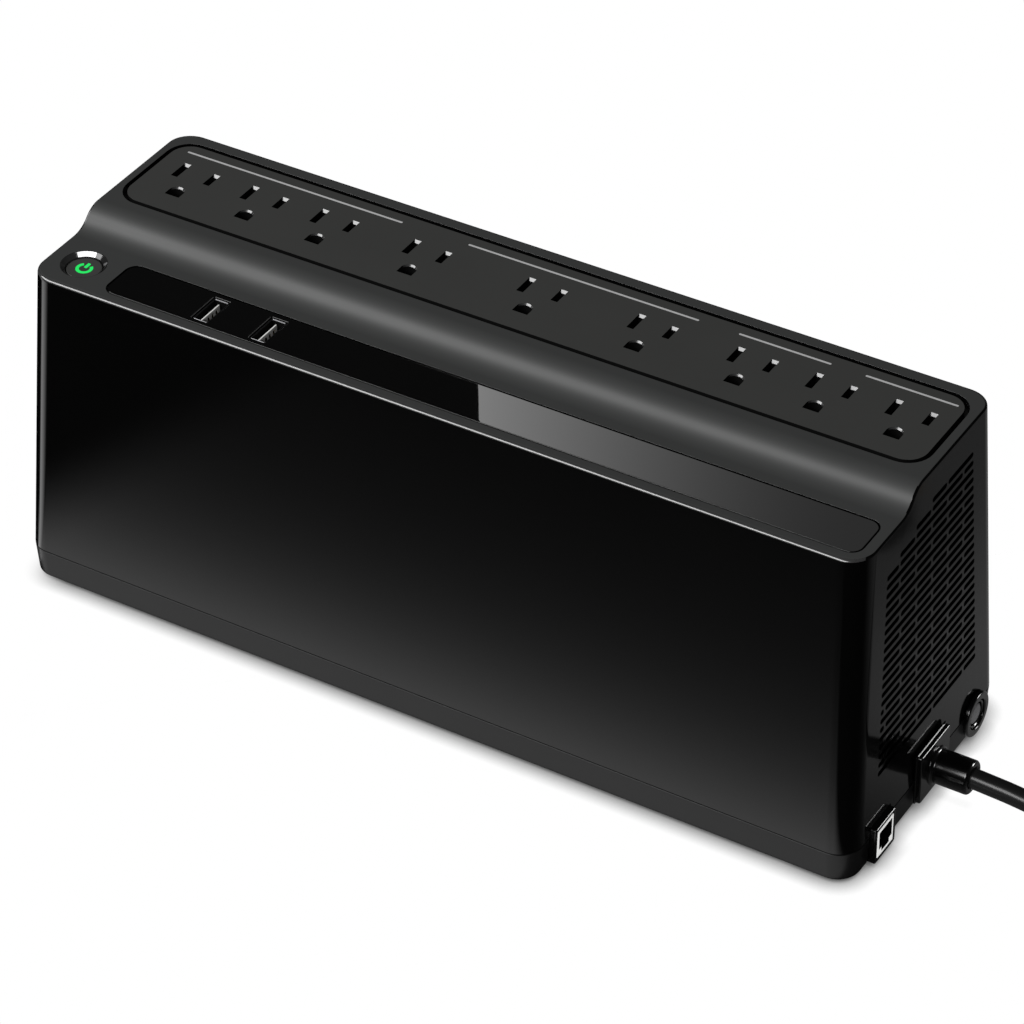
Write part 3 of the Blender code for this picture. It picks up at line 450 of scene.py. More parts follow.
class Shader(Graph):
    """A Principled material with short ways to add procedural detail."""

    def __init__(self, name, colour, roughness, metallic=0.0, specular=0.5, glow=None):
        self.material = bpy.data.materials.new(name)
        super().__init__(self.material)
        self.surface = self.nodes["Principled BSDF"]
        self.colour = (*colour, 1.0)
        self.roughness = roughness
        self.normal = None
        self.set("Base Color", self.colour)
        self.set("Roughness", roughness)
        self.set("Metallic", metallic)
        self.set("Specular IOR Level", specular)
        if glow:
            self.set("Emission Color", (*glow[0], 1.0))
            self.set("Emission Strength", glow[1])
        self.material.diffuse_color = self.colour

    def set(self, socket, value):
        self.surface.inputs[socket].default_value = value

    def coordinates(self, stretch=(1, 1, 1)):
        """Object coordinates in metres, scaled per axis."""
        mapping = self.node("ShaderNodeMapping", Scale=stretch)
        self.links.new(self.node("ShaderNodeTexCoord").outputs["Object"], mapping.inputs["Vector"])
        return mapping.outputs["Vector"]

    def noise(self, size, detail, stretch):
        """Noise with features of about the given size."""
        made = self.node("ShaderNodeTexNoise", Scale=1 / size, Detail=detail)
        self.links.new(self.coordinates(stretch), made.inputs["Vector"])
        return made.outputs["Fac"]

    def bands(self, spacing, direction):
        """Straight bands across X, Y or Z, for windings and laminations."""
        made = self.node("ShaderNodeTexWave", bands_direction=direction, Scale=math.pi / 10 / spacing)
        self.links.new(self.coordinates(), made.inputs["Vector"])
        return made.outputs["Fac"]

    def mottle(self, size, amount, stretch=(1, 1, 1)):
        """Slight unevenness in colour and roughness."""
        source = self.noise(size, 4.0, stretch)
        shade = self.ranged(source, 1 - amount, 1 + amount)
        scale = self.node("ShaderNodeVectorMath", operation="SCALE")
        scale.inputs[0].default_value = self.colour[:3]
        self.links.new(shade, scale.inputs["Scale"])
        self.links.new(scale.outputs["Vector"], self.surface.inputs["Base Color"])
        rough = self.ranged(source, self.roughness * (1 + 0.6 * amount), self.roughness * (1 - 0.6 * amount))
        self.links.new(rough, self.surface.inputs["Roughness"])
        return self

    def bump(self, height, depth, strength=1.0):
        """Add a height field; several calls add up."""
        made = self.node("ShaderNodeBump", Strength=strength, Distance=depth)
        self.links.new(height, made.inputs["Height"])
        if self.normal:
            self.links.new(self.normal, made.inputs["Normal"])
        self.normal = made.outputs["Normal"]
        self.links.new(self.normal, self.surface.inputs["Normal"])
        return self

    def grain(self, size, depth, strength=1.0, stretch=(1, 1, 1)):
        return self.bump(self.noise(size, 2.0, stretch), depth, strength)

    def two_tone(self, source, first, second, start=0.45, end=0.55):
        """Colour that switches between two tones where the source crosses a threshold."""
        mix = self.node("ShaderNodeMix", data_type="RGBA")
        mix.inputs["A"].default_value = (*first, 1.0)
        mix.inputs["B"].default_value = (*second, 1.0)
        self.links.new(self.ranged(source, 0.0, 1.0, start, end), mix.inputs["Factor"])
        self.links.new(mix.outputs["Result"], self.surface.inputs["Base Color"])
        return self


def grey(level):
    return (level, level, level)


def plain(name, colour, roughness, specular, mottle, grain=None, glow=None):
    """A moulded finish; mottle is (size, amount) and grain (size, depth, strength), lengths in mm."""
    made = Shader(name, colour, roughness, specular=specular, glow=glow)
    made.mottle(mottle[0] * MM, mottle[1])
    if grain:
        made.grain(grain[0] * MM, grain[1] * MM, grain[2])
    return made.material


def moulded(name, colour, roughness):
    return plain(name, colour, roughness, 0.5, (12, 0.05), (0.35, 0.010, 0.5))


def brushed(name, colour, roughness, stretch=(1, 1, 12)):
    made = Shader(name, colour, roughness, metallic=1.0)
    return made.mottle(1.5 * MM, 0.12, stretch).grain(0.2 * MM, 0.006 * MM, 0.5, stretch).material


def board_green():
    """Solder resist over copper tracks."""
    made = Shader("board_green", (0.010, 0.10, 0.035), 0.32)
    sizes = {"Brick Width": 0.011, "Row Height": 0.0032, "Mortar Size": 0.0005}
    tracks = made.node("ShaderNodeTexBrick", Scale=1.0, **sizes)
    made.links.new(made.coordinates(), tracks.inputs["Vector"])
    made.two_tone(tracks.outputs["Fac"], (0.010, 0.085, 0.030), (0.022, 0.17, 0.06))
    return made.bump(tracks.outputs["Fac"], 0.03 * MM, 0.5).material


def copper_winding():
    made = Shader("copper_winding", (0.42, 0.14, 0.06), 0.3, metallic=1.0)
    wires = made.bands(0.9 * MM, "Z")
    # the darker tone in the grooves between the turns is painted shade; the lighter tone on the turns is the
    # copper's own colour
    made.two_tone(wires, (0.16, 0.04, 0.02), (0.50, 0.18, 0.08), 0.1, 0.6)
    return made.bump(wires, 0.25 * MM).material


def laminated_steel():
    made = Shader("laminated_steel", (0.10, 0.10, 0.105), 0.42, metallic=0.8)
    sheets = made.bands(0.7 * MM, "Y")
    made.two_tone(sheets, (0.05, 0.05, 0.05), (0.16, 0.16, 0.17), 0.1, 0.5)
    return made.bump(sheets, 0.08 * MM).material


MATERIALS = {
    "housing": plain("housing_gloss", grey(0.0012), 0.09, 0.5, (60, 0.10), (9, 0.012, 1.0)),
    "housing_top": plain("housing_satin", (0.036, 0.037, 0.0365), 0.46, 0.42, (40, 0.04), (0.35, 0.010, 0.6)),
    "deck": plain("deck_satin", (0.037, 0.0375, 0.036), 0.5, 0.36, (35, 0.04), (0.3, 0.010, 0.6)),
    "polished": plain("polished_edge", grey(0.03), 0.16, 1.0, (6, 0.08), (0.8, 0.006, 0.5)),
    "dish": plain("dish_gloss", grey(0.003), 0.08, 0.5, (4, 0.08)),
    "gloss_strip": plain("strip_gloss", grey(0.002), 0.012, 0.5, (50, 0.10)),
    "base": plain("base_satin", (0.006, 0.006, 0.0061), 0.34, 0.2, (30, 0.06), (0.4, 0.012, 0.6)),
    "rubber": plain("rubber_soft", grey(0.010), 0.5, 0.4, (14, 0.12), (0.5, 0.015, 0.5)),
    "fitting": plain("fitting_gloss", grey(0.0015), 0.16, 0.8, (8, 0.10), (0.6, 0.004, 0.5)),
    "cord": plain("cord_jacket", grey(0.012), 0.27, 0.5, (20, 0.10), (0.9, 0.012, 0.5)),
    "green_light": plain("green_light", (0.01, 0.42, 0.08), 0.35, 0.5, (2, 0.08), None,
                         ((0.02, 0.75, 0.11), 0.58)),
    "ink": plain("printed_ink", grey(0.42), 0.55, 0.5, (1.2, 0.08)),
    "steel": brushed("plated_steel", (0.62, 0.63, 0.64), 0.28),
    "brass": brushed("stamped_brass", (0.74, 0.50, 0.20), 0.26, (12, 1, 1)),
    "copper": copper_winding(),
    "aluminium": brushed("satin_aluminium", (0.80, 0.80, 0.81), 0.36),
    "circuit_board": board_green(),
    "white_plastic": moulded("white_nylon", (0.74, 0.74, 0.72), 0.42),
    "grey_plastic": moulded("grey_abs", (0.045, 0.045, 0.048), 0.5),
    "light_grey": moulded("light_grey_abs", (0.16, 0.16, 0.165), 0.42),
    # the jack face's own colour is pale; its emission is a painted glow that stands in for light falling on
    # the face
    "jack_face_painted_glow": plain("jack_face_painted_glow", (0.85, 0.85, 0.84), 0.4, 0.5, (4, 0.05), (0.4, 0.006, 0.5),
                       ((1.0, 1.0, 0.98), 0.28)),
    # near-black painted shade for the insides of holes, sockets and grooves, where the recesses fall dark
    "cavity_painted_shade": plain("cavity_painted_shade", grey(0.002), 0.7, 0.1, (4, 0.10)),
    "usb_steel": brushed("usb_steel", (0.16, 0.16, 0.165), 0.4),
    "blue_plastic": moulded("blue_sleeve", (0.02, 0.07, 0.30), 0.3),
    "red_plastic": moulded("red_insulation", (0.42, 0.015, 0.012), 0.4),
    "core_steel": laminated_steel(),
}


def dress_cad_nodes():
    """Every CAD node takes the material of its record slot; the ones still shown also take a small edge
    rounding.
    """
    slots = {row["node"]: row["material_slot"] for row in frame["record"]["subparts"]}
    for name, node in NODES.items():
        node.data.materials.clear()
        node.data.materials.append(MATERIALS[slots[name]])
        if node.hide_render:
            continue
        bevel = node.modifiers.new("edge_rounding", "BEVEL")
        bevel.width = 0.12 * MM
        bevel.segments = 2
        bevel.limit_method = "ANGLE"
        bevel.angle_limit = math.radians(50)


# ---------------- casing

def body_outline(z, inset=0.0, steps=14):
    """Plan outline of the leaning body at height z, moved inwards by inset."""
    rise = z - PARTING_Z
    left = END_X[0] + END_LEAN[0] * rise + inset
    right = END_X[1] - END_LEAN[1] * rise - inset
    front = -HALF_DEPTH + FRONT_LEAN * rise + inset
    back = HALF_DEPTH - BACK_LEAN * rise - inset
    return rounded_rectangle((left, right), (front, back), CORNER_R - inset, steps)


def space_above(drop):
    """Everything above the top surface, lowered by drop, as a cutter."""
    run = S_CURVE_END_Y - S_CURVE_START_Y
    rise = DECK_Z - SHELF_Z
    radius = (run ** 2 + rise ** 2) / (4 * rise)
    turn = math.degrees(2 * math.atan2(rise, run))
    lower = arc((S_CURVE_START_Y, SHELF_Z - drop + radius), radius, -90, -90 + turn, 12)
    upper = arc((S_CURVE_END_Y, DECK_Z - drop - radius), radius, 90 + turn, 90, 12)
    outline = [(-BEYOND_Y, SHELF_Z - drop)] + lower + upper[1:]
    outline += [(BEYOND_Y, DECK_Z - drop), (BEYOND_Y, BEYOND_Z), (-BEYOND_Y, BEYOND_Z)]
    return solid("space_above", along_x([(-BEYOND_X, outline), (BEYOND_X, outline)]))


def is_top_rim(edge):
    slopes = sorted(face.normal.z for face in edge.link_faces)
    return slopes[0] < 0.4 and slopes[1] > 0.6 and min(v.co.z for v in edge.verts) > SHELF_Z - 2 * MM


def round_top_rim(obj):
    """Round the top rim by its radius in front, at the ends and at the back."""
    bm = bmesh.new()
    bm.from_mesh(obj.data)
    weights = bm.edges.layers.float.new("bevel_weight_edge")
    for edge in bm.edges:
        if len(edge.link_faces) == 2 and is_top_rim(edge):
            facing = min(edge.link_faces, key=lambda face: face.normal.z).normal.y
            side = BACK_EDGE_R if facing > 0 else FRONT_EDGE_R
            edge[weights] = (END_EDGE_R + (side - END_EDGE_R) * facing ** 2) / BACK_EDGE_R
    bm.to_mesh(obj.data)
    bm.free()
    bevel = obj.modifiers.new("rim", "BEVEL")
    bevel.width = BACK_EDGE_R
    bevel.segments = 5
    bevel.limit_method = "WEIGHT"
    bevel.offset_type = "OFFSET"
    apply_modifiers(obj)


def vent_slots(side):
    """Staggered rows of round-ended slots through one end wall; side is +1 on the right."""
    bm = bmesh.new()
    for row in range(VENT_ROWS):
        z = VENT_TOP_Z - row * VENT_PITCH_Z
        drop = VENT_TOP_Z - z
        front = VENT_FRONT_Y - FRONT_LEAN * drop
        back = VENT_BACK_Y + BACK_LEAN * drop
        if row < VENT_SHORT_ROWS:
            front = VENT_BRIDGE_Y - (2 + row) * VENT_PITCH_Y + VENT_BRIDGE / 2
        bridges = [VENT_BRIDGE_Y - (2 * k + (row + 1) % 2) * VENT_PITCH_Y for k in range(4)]
        edges = [back] + [b for b in bridges if front + 2 * MM < b < back - 2 * MM] + [front]
        for i, (high, low) in enumerate(zip(edges, edges[1:])):
            high -= VENT_BRIDGE / 2 if i > 0 else 0
            low += VENT_BRIDGE / 2 if i < len(edges) - 2 else 0
            skin(vent_slot_rings(side, (low, high), z), bm)
    return mesh_object("vent_slots", bm)


def vent_slot_rings(side, y, z):
    """One slot's cutter: straight inside, slightly wider at the surface, square to the leaning wall."""
    wall, lean = END_X[side > 0], END_LEAN[side > 0]
    outline_at = grown_rectangle(y, around(z, VENT_SLOT_H / 2), VENT_SLOT_R, 4)
    rings = []
    for out, grow in ((-8 * MM, 0), (-0.1 * MM, 0), (0.1 * MM, 0.2 * MM)):
        rings.append([(wall - side * (lean * (v - PARTING_Z) - out), u, v) for u, v in outline_at(grow)])
    return rings


def hole_rings(outline_at, surface_z, depth, rim=0.12 * MM):
    """Cutter rings for a hole in a flat top, with a rounded rim; outline_at(grow) gives its outline."""
    sections = [(surface_z - depth, outline_at(0))]
    sections += [(surface_z - drop, outline_at(widen)) for widen, drop in quarter(rim, 3)]
    sections.append((surface_z + 2 * MM, outline_at(rim)))
    return stack(sections)


def usb_middles():
    return [middle_of("usb_shell_" + side)[0] for side in ("left", "right")]


def end_wall_openings():
    """Cutters through the right end wall for the cord, the breaker and the data port."""
    relief_low, relief_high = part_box("strain_relief")
    _, cord_y, cord_z = middle_of("strain_relief")
    half = 0.5 * (relief_high - relief_low) - Vector((0, RELIEF_NECK, RELIEF_NECK))
    breaker = (0.16, *middle_of("breaker_collar")[1:])
    port_low, port_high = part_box("data_port_block")
    wall_x = (0.15, 0.17)
    return [
        box("cord_opening", wall_x, around(cord_y, half.y), around(cord_z, half.z)),
        turned("breaker_opening", [(BREAKER_BORE_R, -0.01), (BREAKER_BORE_R, 0.01)], breaker, "X"),
        box("port_opening", wall_x, (port_low.y - PLAY, port_high.y + PLAY), (-0.02, port_high.z + PLAY)),
    ]


def top_openings():
    """Cutters for the outlet deck, the glossy strip, the power button, the vents and the USB sockets."""
    deck = footprint(DECK_LOW, DECK_HIGH, DECK_R + GROOVE, margin=GROOVE - DECK_FLANGE)
    pocket = footprint(STRIP_LOW, STRIP_HIGH, STRIP_R + GROOVE, margin=GROOVE)
    cutters = [
        solid("deck_opening", hole_rings(deck, DECK_Z, 8 * MM)),
        solid("strip_pocket", hole_rings(pocket, SHELF_Z, 1.6 * MM)),
        turned("button_opening", button_opening_profile(), (*button_middle(), SHELF_Z), "Z", 64),
        vent_slots(1),
        vent_slots(-1),
    ]
    for x in usb_middles():
        depth = (SHELF_Z - 8 * MM, SHELF_Z + 2 * MM)
        cutters.append(box("usb_opening", around(x, 3.7 * MM), around(SHELF_MID_Y, 7.2 * MM), depth))
    return cutters


def housing():
    """Upper housing: satin on top, glossy on the walls, with a rounded rim between them."""
    top = DECK_Z + 3 * MM
    shell = solid("housing_shell", stack([(z, body_outline(z)) for z in (PARTING_Z, top)]))
    combine(shell, [space_above(0)])
    round_top_rim(shell)
    low = PARTING_Z - 2 * MM
    cavity = solid("cavity", stack([(z, body_outline(z, WALL, 6)) for z in (low, top)]))
    combine(cavity, [space_above(TOP_WALL)])
    combine(shell, [cavity])
    combine(shell, top_openings() + end_wall_openings())
    paint(shell, ("housing", "housing_top", "polished"), housing_finish)
    return piece(polish(shell), "housing", nodes=["upper_housing"])


def housing_finish(face):
    """Polished on the front rim, satin on the other faces that look up, glossy on the rest."""
    on_top = face.center.z > SHELF_Z - 2.5 * MM
    if on_top and 0.3 < face.normal.z < 0.97 and face.center.y < STRIP_LOW.y:
        return 2
    on_slope = S_CURVE_START_Y < face.center.y < S_CURVE_END_Y and abs(face.normal.x) < 0.1
    return 1 if on_top and face.normal.z > (0.6 if on_slope else 0.93) else 0


# ---------------- outlet deck

def slot_outline(x, width, length, taper):
    """A blade slot whose rear end moves forward by taper."""
    front, rear = around(BLADE_Y, length / 2)
    return rounded_rectangle(around(x, width / 2), (front, rear - taper), SLOT_CORNER_R, 2)


def ground_outline(x, taper):
    """The ground hole: flat towards the front, round towards the back, where it tapers."""
    y = BLADE_Y - GROUND_OFFSET
    front = y - GROUND_R
    rear = arc((x, y - taper), GROUND_R, 0, 180, 14)
    rear = [(px, max(py, front + 0.3 * MM)) for px, py in rear]
    return rear + [(x - GROUND_R, front), (x + GROUND_R, front)]


def sloped_hole(outline_at, slope):
    """Cutter rings for a hole through the deck whose rear end slopes in; outline_at(taper)."""
    levels = ((-9 * MM, slope), (-slope, slope), (0, 0), (2 * MM, 0))
    return stack([(DECK_Z + height, outline_at(taper)) for height, taper in levels])


def outlet_holes():
    bm = bmesh.new()
    for x in OUTLETS_X:
        for side, (width, length) in ((-1, NEUTRAL_SLOT), (1, LIVE_SLOT)):
            middle = x + side * BLADE_PITCH / 2
            skin(sloped_hole(lambda taper: slot_outline(middle, width, length, taper), SLOT_SLOPE), bm)
        skin(sloped_hole(lambda taper: ground_outline(x, taper), GROUND_SLOPE), bm)
    return mesh_object("outlet_holes", bm)


def outlet_panel():
    flange = footprint(DECK_LOW, DECK_HIGH, DECK_R + DECK_FLANGE, 12)(0)
    panel_at = footprint(DECK_LOW, DECK_HIGH, DECK_R - DECK_INSET, 12, -DECK_FLANGE - DECK_INSET)
    step = DECK_Z - TOP_WALL - 0.3 * MM
    sections = [(DECK_LOW.z, flange), (step, flange), (step, panel_at(0))]
    sections += round_top(panel_at, DECK_Z, 0.12 * MM, 3)
    panel = combine(solid("outlet_panel", stack(sections)), [outlet_holes()])
    # faces inside the outlet holes and on the panel's edge get painted shade
    paint(panel, ("deck", "polished", "cavity_painted_shade"), deck_finish)
    return piece(polish(panel), "deck", nodes=["outlet_deck"])


def deck_finish(face):
    """Satin on top, polished on the sloping ends of the holes; painted shade, near black, inside them and on
    the panel's edge faces.
    """
    if face.normal.z > 0.95:
        return 0
    margin = DECK_FLANGE + DECK_INSET + MM
    inside_x = DECK_LOW.x + margin < face.center.x < DECK_HIGH.x - margin
    inside_y = DECK_LOW.y + margin < face.center.y < DECK_HIGH.y - margin
    sloping = 0.4 < face.normal.z < 0.95 and face.normal.y < -0.3
    return 1 if inside_x and inside_y and sloping else 2


def printed_lines():
    """The pale printed lines behind the outlets: thin ink films."""
    bm = bmesh.new()
    for start, end in PRINTED_LINES_MM:
        x = (start * MM, end * MM)
        outline = rounded_rectangle(x, around(PRINTED_LINE_Y, PRINTED_LINE_HALF), 0.4 * MM, 4)
        skin(stack([(z, outline) for z in around(DECK_Z, INK_HALF)]), bm)
    return piece(mesh_object("printed_lines", bm), "ink")


# ---------------- front shelf

def glossy_strip():
    strip_at = footprint(STRIP_LOW, STRIP_HIGH, STRIP_R)
    sections = [(STRIP_LOW.z, strip_at(0))] + round_top(strip_at, STRIP_HIGH.z, 0.25 * MM, 3)
    strip = solid("glossy_strip", stack(sections))
    holes = bmesh.new()
    for x in usb_middles():
        hole = grown_rectangle(around(x, USB_HOLE[0] / 2), around(SHELF_MID_Y, USB_HOLE[1] / 2), 0.4 * MM, 4)
        skin(hole_rings(hole, STRIP_HIGH.z, 5 * MM, 0.35 * MM), holes)
    combine(strip, [mesh_object("usb_holes", holes)])
    return piece(polish(strip), "gloss_strip", nodes=["display_strip"])


def usb_shell(side):
    """Folded steel shell with rounded corners."""
    name = "usb_shell_" + side
    low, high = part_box(name)
    outer = footprint(low, high, 0.7 * MM, 5)
    sections = [(low.z, outer(0)), (high.z - 0.1 * MM, outer(0)), (high.z, outer(-0.1 * MM))]
    shell = solid("usb_can_" + side, stack(sections))
    mouth = [(low.z + 1.5 * MM, outer(-USB_WALL)), (high.z - 0.3 * MM, outer(-USB_WALL)),
             (high.z + 0.1 * MM, outer(-0.12 * MM))]
    combine(shell, [solid("mouth", stack(mouth))])
    # the shell's inner faces below the rim get painted shade
    paint(shell, ("usb_steel", "cavity_painted_shade"), lambda face: int(face.center.z < high.z - 0.6 * MM))
    piece(polish(shell), "usb_steel", nodes=[name])


def usb_tongue(side):
    """Moulded tongue with grooves for its four contacts, and the contacts."""
    name = "usb_tongue_" + side
    low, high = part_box(name)
    low.x += 0.5 * MM
    high.x -= 0.6 * MM
    block = footprint(low, high, 0.2 * MM, 3)
    sections = [(low.z, block(0)), (high.z - 0.3 * MM, block(0)), (high.z, block(-0.15 * MM))]
    tongue = solid("usb_insert_" + side, stack(sections))
    grooves = bmesh.new()
    contacts = bmesh.new()
    middle = (low.y + high.y) / 2
    groove_x = (high.x - 0.25 * MM, high.x + 1 * MM)
    contact_x = (high.x - 0.25 * MM, high.x - 0.05 * MM)
    for i in range(4):
        y = middle + (i - 1.5) * USB_CONTACT_PITCH
        skin(box_rings(groove_x, around(y, 0.6 * MM), (low.z + 2 * MM, high.z - 1 * MM)), grooves)
        skin(box_rings(contact_x, around(y, 0.5 * MM), (low.z + 2.1 * MM, high.z - 1.1 * MM)), contacts)
    combine(tongue, [mesh_object("grooves", grooves)])
    piece(polish(tongue), "white_plastic", nodes=[name])
    piece(mesh_object("usb_contacts_" + side, contacts), "brass")


def button_middle():
    return middle_of("power_button")[:2]


def button_opening_profile():
    inner = BUTTON_HOLE_R + 0.4 * MM
    outer = BUTTON_HOLE_R + BUTTON_DISH + 0.1 * MM
    return [(inner, -8 * MM), (inner, -BUTTON_DISH - 0.4 * MM), (outer, -0.7 * MM), (outer, 2 * MM)]


def button_dish():
    """Polished cone that lines the hole round the power button."""
    wide = BUTTON_HOLE_R + BUTTON_DISH
    back = BUTTON_HOLE_R + 0.35 * MM
    profile = [(BUTTON_HOLE_R, -BUTTON_DISH - 1.2 * MM), (back, -BUTTON_DISH - 1.2 * MM),
               (back, -BUTTON_DISH - 0.45 * MM), (wide + 0.05 * MM, -0.75 * MM),
               (wide + 0.05 * MM, -0.08 * MM), (wide - 0.12 * MM, -0.08 * MM), (BUTTON_HOLE_R, -BUTTON_DISH)]
    dish = tube("button_dish", profile, (*button_middle(), SHELF_Z), "Z", 64)
    return piece(polish(dish), "dish")


def symbol_outline(grow):
    """Open ring of the standard power symbol."""
    centre = button_middle()
    half = SYMBOL_WIDTH / 2 + grow
    extra = math.degrees(grow / SYMBOL_R)
    start, end = 128 - extra, 412 + extra
    outline = arc(centre, SYMBOL_R + half, start, end, 28)
    return outline + list(reversed(arc(centre, SYMBOL_R - half, start, end, 28)))


def symbol_bar(grow):
    x, y = button_middle()
    bar = (y + 0.5 * MM - grow, y + 3.2 * MM + grow)
    return rounded_rectangle(around(x, SYMBOL_WIDTH / 2 + grow), bar, 0.2 * MM + grow, 3)


def symbol_solid(name, grow, low, high):
    """The power symbol between two heights."""
    bm = bmesh.new()
    for outline in (symbol_outline(grow), symbol_bar(grow)):
        skin(stack([(low, outline), (high, outline)]), bm)
    return mesh_object(name, bm)


def power_button():
    """Dished cap with the power symbol cut through it, and the light guide that fills the symbol."""
    low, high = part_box("power_button")
    x, y = button_middle()
    shoulder = low.z + 1.9 * MM
    flange = high.x - x
    underside = high.z - 1.0 * MM
    profile = [(0.5 * MM, underside), (5.2 * MM, underside), (5.2 * MM, low.z), (flange, low.z),
               (flange, shoulder), (BUTTON_CAP_R, shoulder)]
    profile += round_end(BUTTON_CAP_R, high.z, 0.5 * MM, 4)
    profile += [(BUTTON_CAP_R * 0.55, high.z - 0.12 * MM), (BUTTON_CAP_R * 0.25, high.z - 0.2 * MM)]
    cap = turned("button_cap", profile, (x, y, 0), "Z", 64)
    combine(cap, [symbol_solid("symbol_slots", SYMBOL_GAP, high.z - 2 * MM, high.z + 1 * MM)])
    piece(polish(cap), "deck", "button", nodes=["power_button"])
    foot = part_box("button_light_guide")[0].z
    profile = [(2.0 * MM, foot), (2.0 * MM, foot + 3.8 * MM), (4.8 * MM, foot + 4.8 * MM),
               (4.8 * MM, high.z - 1.15 * MM)]
    guide = turned("light_guide", profile, (x, y, 0), "Z", 48)
    combine(guide, [symbol_solid("symbol", 0, high.z - 1.5 * MM, high.z - 0.08 * MM)], "UNION")
    piece(polish(guide), "green_light", "button", nodes=["button_light_guide"])


# ---------------- base

def foot_places():
    return [middle_of("foot_" + corner)[:2] for corner in CORNERS]


def screw_places():
    return [middle_of("case_screw_" + corner)[:2] for corner in CORNERS]


def base_block():
    """Closed block of the base with its rounded lower edge."""
    edge = reversed(quarter(BASE_EDGE_R, 5))
    sections = [(BASE_LOW.z + drop, body_outline(PARTING_Z, BASE_TUCK + inset)) for inset, drop in edge]
    sections.append((BASE_TOP - 0.1 * MM, body_outline(PARTING_Z)))
    sections.append((BASE_TOP, body_outline(PARTING_Z, 0.1 * MM)))
    return solid("base_shell", stack(sections))


def base_ribs():
    """Battery partition, board guides and screw bosses."""
    door_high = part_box("battery_door")[1]
    board_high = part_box("main_board")[1]
    partition_x = (door_high.x + 2 * MM, door_high.x + 4 * MM)
    ribs = [box("partition", partition_x, (-0.047, 0.040), (RIB_FOOT, TABLE_Z + 0.040))]
    guide_y = (board_high.y - 3.6 * MM, board_high.y + 2 * MM)
    for x in BOARD_GUIDES_X:
        ribs.append(box("board_guide", around(x, 3 * MM), guide_y, (RIB_FOOT, TABLE_Z + 10 * MM)))
    for x, y in screw_places():
        ribs.append(turned("boss", [(4.5 * MM, RIB_FOOT), (4.5 * MM, BASE_TOP)], (x, y, 0), "Z", 32))
    return ribs


def base_cutters():
    """Board slot, screw ways, foot recesses, door channel and battery bay opening."""
    low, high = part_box("main_board")
    cutters = [box("board_slot", (low.x - 4 * MM, high.x + 5 * MM), (low.y - PLAY, high.y + PLAY),
                   (low.z - PLAY, TABLE_Z + 11 * MM))]
    way = [(3.6 * MM, -1 * MM), (3.6 * MM, 6.5 * MM), (1.8 * MM, 6.5 * MM), (1.8 * MM, 20 * MM)]
    for x, y in screw_places():
        cutters.append(turned("screw_way", way, (x, y, TABLE_Z), "Z", 32))
    for x, y in foot_places():
        recess = [(5.4 * MM, -1 * MM), (5.4 * MM, 2.6 * MM)]
        cutters.append(turned("foot_recess", recess, (x, y, TABLE_Z), "Z", 40))
    low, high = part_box("battery_door")
    half, rail = high.y - DOOR_RAIL + PLAY, high.y + PLAY
    step, roof = low.z + DOOR_STEP, high.z + PLAY
    outline = [(-half, -0.01), (half, -0.01), (half, step), (rail, step), (rail, roof), (-rail, roof),
               (-rail, step), (-half, step)]
    end = high.x + PLAY
    cutters.append(solid("door_channel", along_x([(-0.175, outline), (end, outline)])))
    bay_y = (1 * MM - rail, rail - 1 * MM)
    cutters.append(box("bay_opening", (-0.157, end - 1.3 * MM), bay_y, (high.z, TABLE_Z + 7 * MM)))
    return cutters


def base_shell():
    """Base tray with its rounded lower edge, battery channel, foot recesses and screw bosses."""
    tray = base_block()
    hollow = body_outline(PARTING_Z, WALL, 6)
    combine(tray, [solid("bay", stack([(FLOOR_TOP, hollow), (0.03, hollow)]))])
    combine(tray, base_ribs(), "UNION")
    combine(tray, base_cutters())
    combine(tray, end_wall_openings())
    return piece(polish(tray), "base", nodes=["base_tray"])


def feet_and_screws():
    for corner, (x, y) in zip(CORNERS, foot_places()):
        profile = [(3.6 * MM, 0)]
        profile += [(4.9 * MM - inset, drop) for inset, drop in reversed(quarter(0.7 * MM, 3))]
        profile += [(5.0 * MM, 1.0 * MM), (5.0 * MM, 2.3 * MM)]
        foot = turned("pad_" + corner, profile, (x, y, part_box("foot_" + corner)[0].z))
        piece(polish(foot), "rubber", nodes=["foot_" + corner])
    for corner, (x, y) in zip(CORNERS, screw_places()):
        profile = [(2.6 * MM, 2.4 * MM), (3.0 * MM, 2.6 * MM), (3.2 * MM, 3.1 * MM), (3.2 * MM, 5.9 * MM),
                   (1.5 * MM, 5.9 * MM), (1.5 * MM, 26 * MM), (0.6 * MM, 27.2 * MM)]
        screw = turned("screw_" + corner, profile, (x, y, TABLE_Z), "Z", 32)
        combine(screw, [cross_recess(x, y)])
        piece(polish(screw), "steel", nodes=["case_screw_" + corner])


def cross_recess(x, y):
    """Tapered cross drive in a screw head that faces down."""
    bottom, top = TABLE_Z + 2.0 * MM, TABLE_Z + 4.4 * MM
    long, wide, deep = 1.9 * MM, 0.42 * MM, 0.7 * MM
    bars = []
    for half_x, half_y in (((long, deep), (wide, wide / 2)), ((wide, wide / 2), (long, deep))):
        outlines = [rectangle(around(x, half_x[i]), around(y, half_y[i])) for i in (0, 1)]
        bars.append(solid("drive", stack([(bottom, outlines[0]), (top, outlines[1])])))
    return combine(bars[0], [bars[1]], "UNION")


